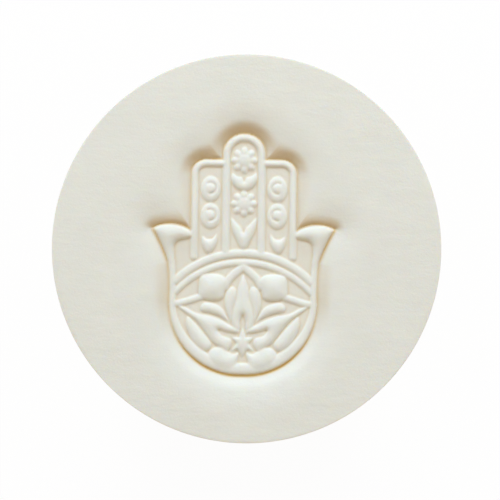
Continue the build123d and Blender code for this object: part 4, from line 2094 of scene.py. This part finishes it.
@dataclass
class Studio:
    """White floor, soft light from above the fingers, and a camera straight over the face."""

    image_size: int = 500
    pixel: float = 0.1284
    disc_pixel: Point = (246.6, 248.6)
    lens: float = 260.0
    sensor: float = 36.0
    clip: Point = (0.01, 10.0)
    key_azimuth: float = 90.0
    key_elevation: float = 37.0
    key_share: float = 0.56
    key_distance: float = 0.6
    key_size: float = 0.2
    key_colour: str = "e6f1fa"
    world_strength: float = 0.62
    world_back: str = "f7fbff"
    world_front: str = "ffe2b8"
    floor_reach: float = 1.5
    floor_glow: float = 0.96
    floor_drop: float = 0.02

    def floor(self) -> None:
        """Lays a wide white floor under the foot, near white to the camera but with shadows."""
        reach = self.floor_reach
        mesh = bpy.data.meshes.new("studio_floor")
        sides = ((-reach, -reach), (reach, -reach), (reach, reach), (-reach, reach))
        corners = [(x, y, -self.floor_drop * MM) for x, y in sides]
        mesh.from_pydata(corners, [], [(0, 1, 2, 3)])
        material = bpy.data.materials.new("white_paper_sweep")
        material.use_nodes = True
        tree = material.node_tree
        tree.nodes.clear()
        rays = add(tree, "LightPath", {})
        seen = add(
            tree,
            "Math",
            {0: rays.outputs["Is Camera Ray"], 1: rays.outputs["Is Glossy Ray"]},
            operation="ADD",
        ).outputs[0]
        seen = add(
            tree, "Math", {0: seen, 1: rays.outputs["Is Transmission Ray"]}, operation="ADD"
        ).outputs[0]
        share = add(
            tree, "Math", {0: seen, 1: self.floor_glow}, operation="MULTIPLY", use_clamp=True
        ).outputs[0]
        paper = add(tree, "BsdfDiffuse", {"Color": linear("f2f2f2")}).outputs[0]
        glow = add(tree, "Emission", {"Color": linear("ffffff"), "Strength": 1.0}).outputs[0]
        mixed = add(tree, "MixShader", {0: share, 1: paper, 2: glow}).outputs[0]
        add(tree, "OutputMaterial", {"Surface": mixed})
        mesh.materials.append(material)
        floor = bpy.data.objects.new("studio_floor", mesh)
        bpy.context.scene.collection.objects.link(floor)

    def key(self) -> None:
        """Hangs the square soft key lamp, which looks at the stamp from above the fingers.

        Its watts are pi squared times its share and its squared distance, over the sine of
        its elevation, so that a level white surface gets that share of plain light from it.
        """
        turn, rise = math.radians(self.key_azimuth), math.radians(self.key_elevation)
        away = self.key_distance
        light = bpy.data.lights.new("key_lamp", "AREA")
        light.size = self.key_size
        light.energy = self.key_share * math.pi**2 * away**2 / math.sin(rise)
        light.color = linear(self.key_colour)[:3]
        lamp = bpy.data.objects.new("key_lamp", light)
        bpy.context.scene.collection.objects.link(lamp)
        lamp.location = (
            away * math.cos(rise) * math.cos(turn),
            away * math.cos(rise) * math.sin(turn),
            away * math.sin(rise) + span("stamp_face").top * MM,
        )
        lamp.rotation_euler = (QUARTER_TURN - rise, 0.0, turn + QUARTER_TURN)

    def world(self) -> None:
        """Surrounds the stamp with soft light, warmer from in front than from behind."""
        world = bpy.data.worlds.new("studio_world")
        bpy.context.scene.world = world
        world.use_nodes = True
        tree = world.node_tree
        tree.nodes.clear()
        rays = add(tree, "LightPath", {})
        strength = add(
            tree,
            "Mix",
            {0: rays.outputs["Is Camera Ray"], 2: self.world_strength, 3: 1.0},
            data_type="FLOAT",
        ).outputs[0]
        way = add(tree, "TexCoord", {}).outputs["Generated"]
        along = add(tree, "SeparateXYZ", {"Vector": way}).outputs["Y"]
        side = add(
            tree, "MapRange", {"Value": along, "From Min": -0.5, "From Max": 0.5}
        ).outputs["Result"]
        round_light = add(
            tree,
            "Mix",
            {0: side, 6: linear(self.world_front), 7: linear(self.world_back)},
            data_type="RGBA",
        ).outputs[2]
        tint = add(
            tree,
            "Mix",
            {0: rays.outputs["Is Camera Ray"], 6: round_light, 7: linear("ffffff")},
            data_type="RGBA",
        ).outputs[2]
        back = add(tree, "Background", {"Color": tint, "Strength": strength}).outputs[0]
        add(tree, "OutputWorld", {"Surface": back})

    def camera(self) -> None:
        """Looks straight down on the face, with the fingers up, as the photograph does.

        The camera's distance is half the frame's width times the lens, over half the sensor.
        """
        data = bpy.data.cameras.new("photo_camera")
        data.lens, data.sensor_width = self.lens, self.sensor
        half_frame = self.image_size * self.pixel / 2.0
        away = half_frame * self.lens / (self.sensor / 2.0)
        middle = self.image_size / 2.0
        face = span("stamp_face")
        camera = bpy.data.objects.new("photo_camera", data)
        bpy.context.scene.collection.objects.link(camera)
        camera.location = (
            (middle - self.disc_pixel[0]) * self.pixel * MM,
            (self.disc_pixel[1] - middle) * self.pixel * MM,
            (face.top + away) * MM,
        )
        data.clip_start, data.clip_end = self.clip
        bpy.context.scene.camera = camera

    def build(self) -> None:
        """Sets up floor, lamp, world, camera and the plain view."""
        self.floor()
        self.key()
        self.world()
        self.camera()
        bpy.context.scene.view_settings.view_transform = "Standard"


def main() -> None:
    """Builds every piece and the studio, and reports them."""
    logging.basicConfig(level=logging.INFO, format="%(name)s: %(message)s")
    brass = TurnedBrass("turned_brass").make()
    screw_brass = TurnedBrass("screw_brass", bright="dcb974", tarnish="a98048", cloud=1.5).make()
    plate_beech = TurnedBeech("oiled_beech_plate", Grain.ACROSS).make()
    handle_beech = TurnedBeech("hand_worn_beech", Grain.UP, light="cda376", dark="b18253").make()
    groups = {
        "clay face": ClayFace().build(PressedClay().make()),
        "head": Head().build(PressedCork().make(), plate_beech, brass, screw_brass),
        "washer": Washer().build(VulcanisedFibre().make()),
        "handle": Handle().build(handle_beech, brass, PressedFelt().make()),
    }
    for group, pieces in groups.items():
        for piece in pieces:
            log.info("%s: %s has %d faces", group, piece.name, len(piece.data.polygons))
    Studio().build()
    log.info("studio ready")


if __name__ == "__main__":
    main()
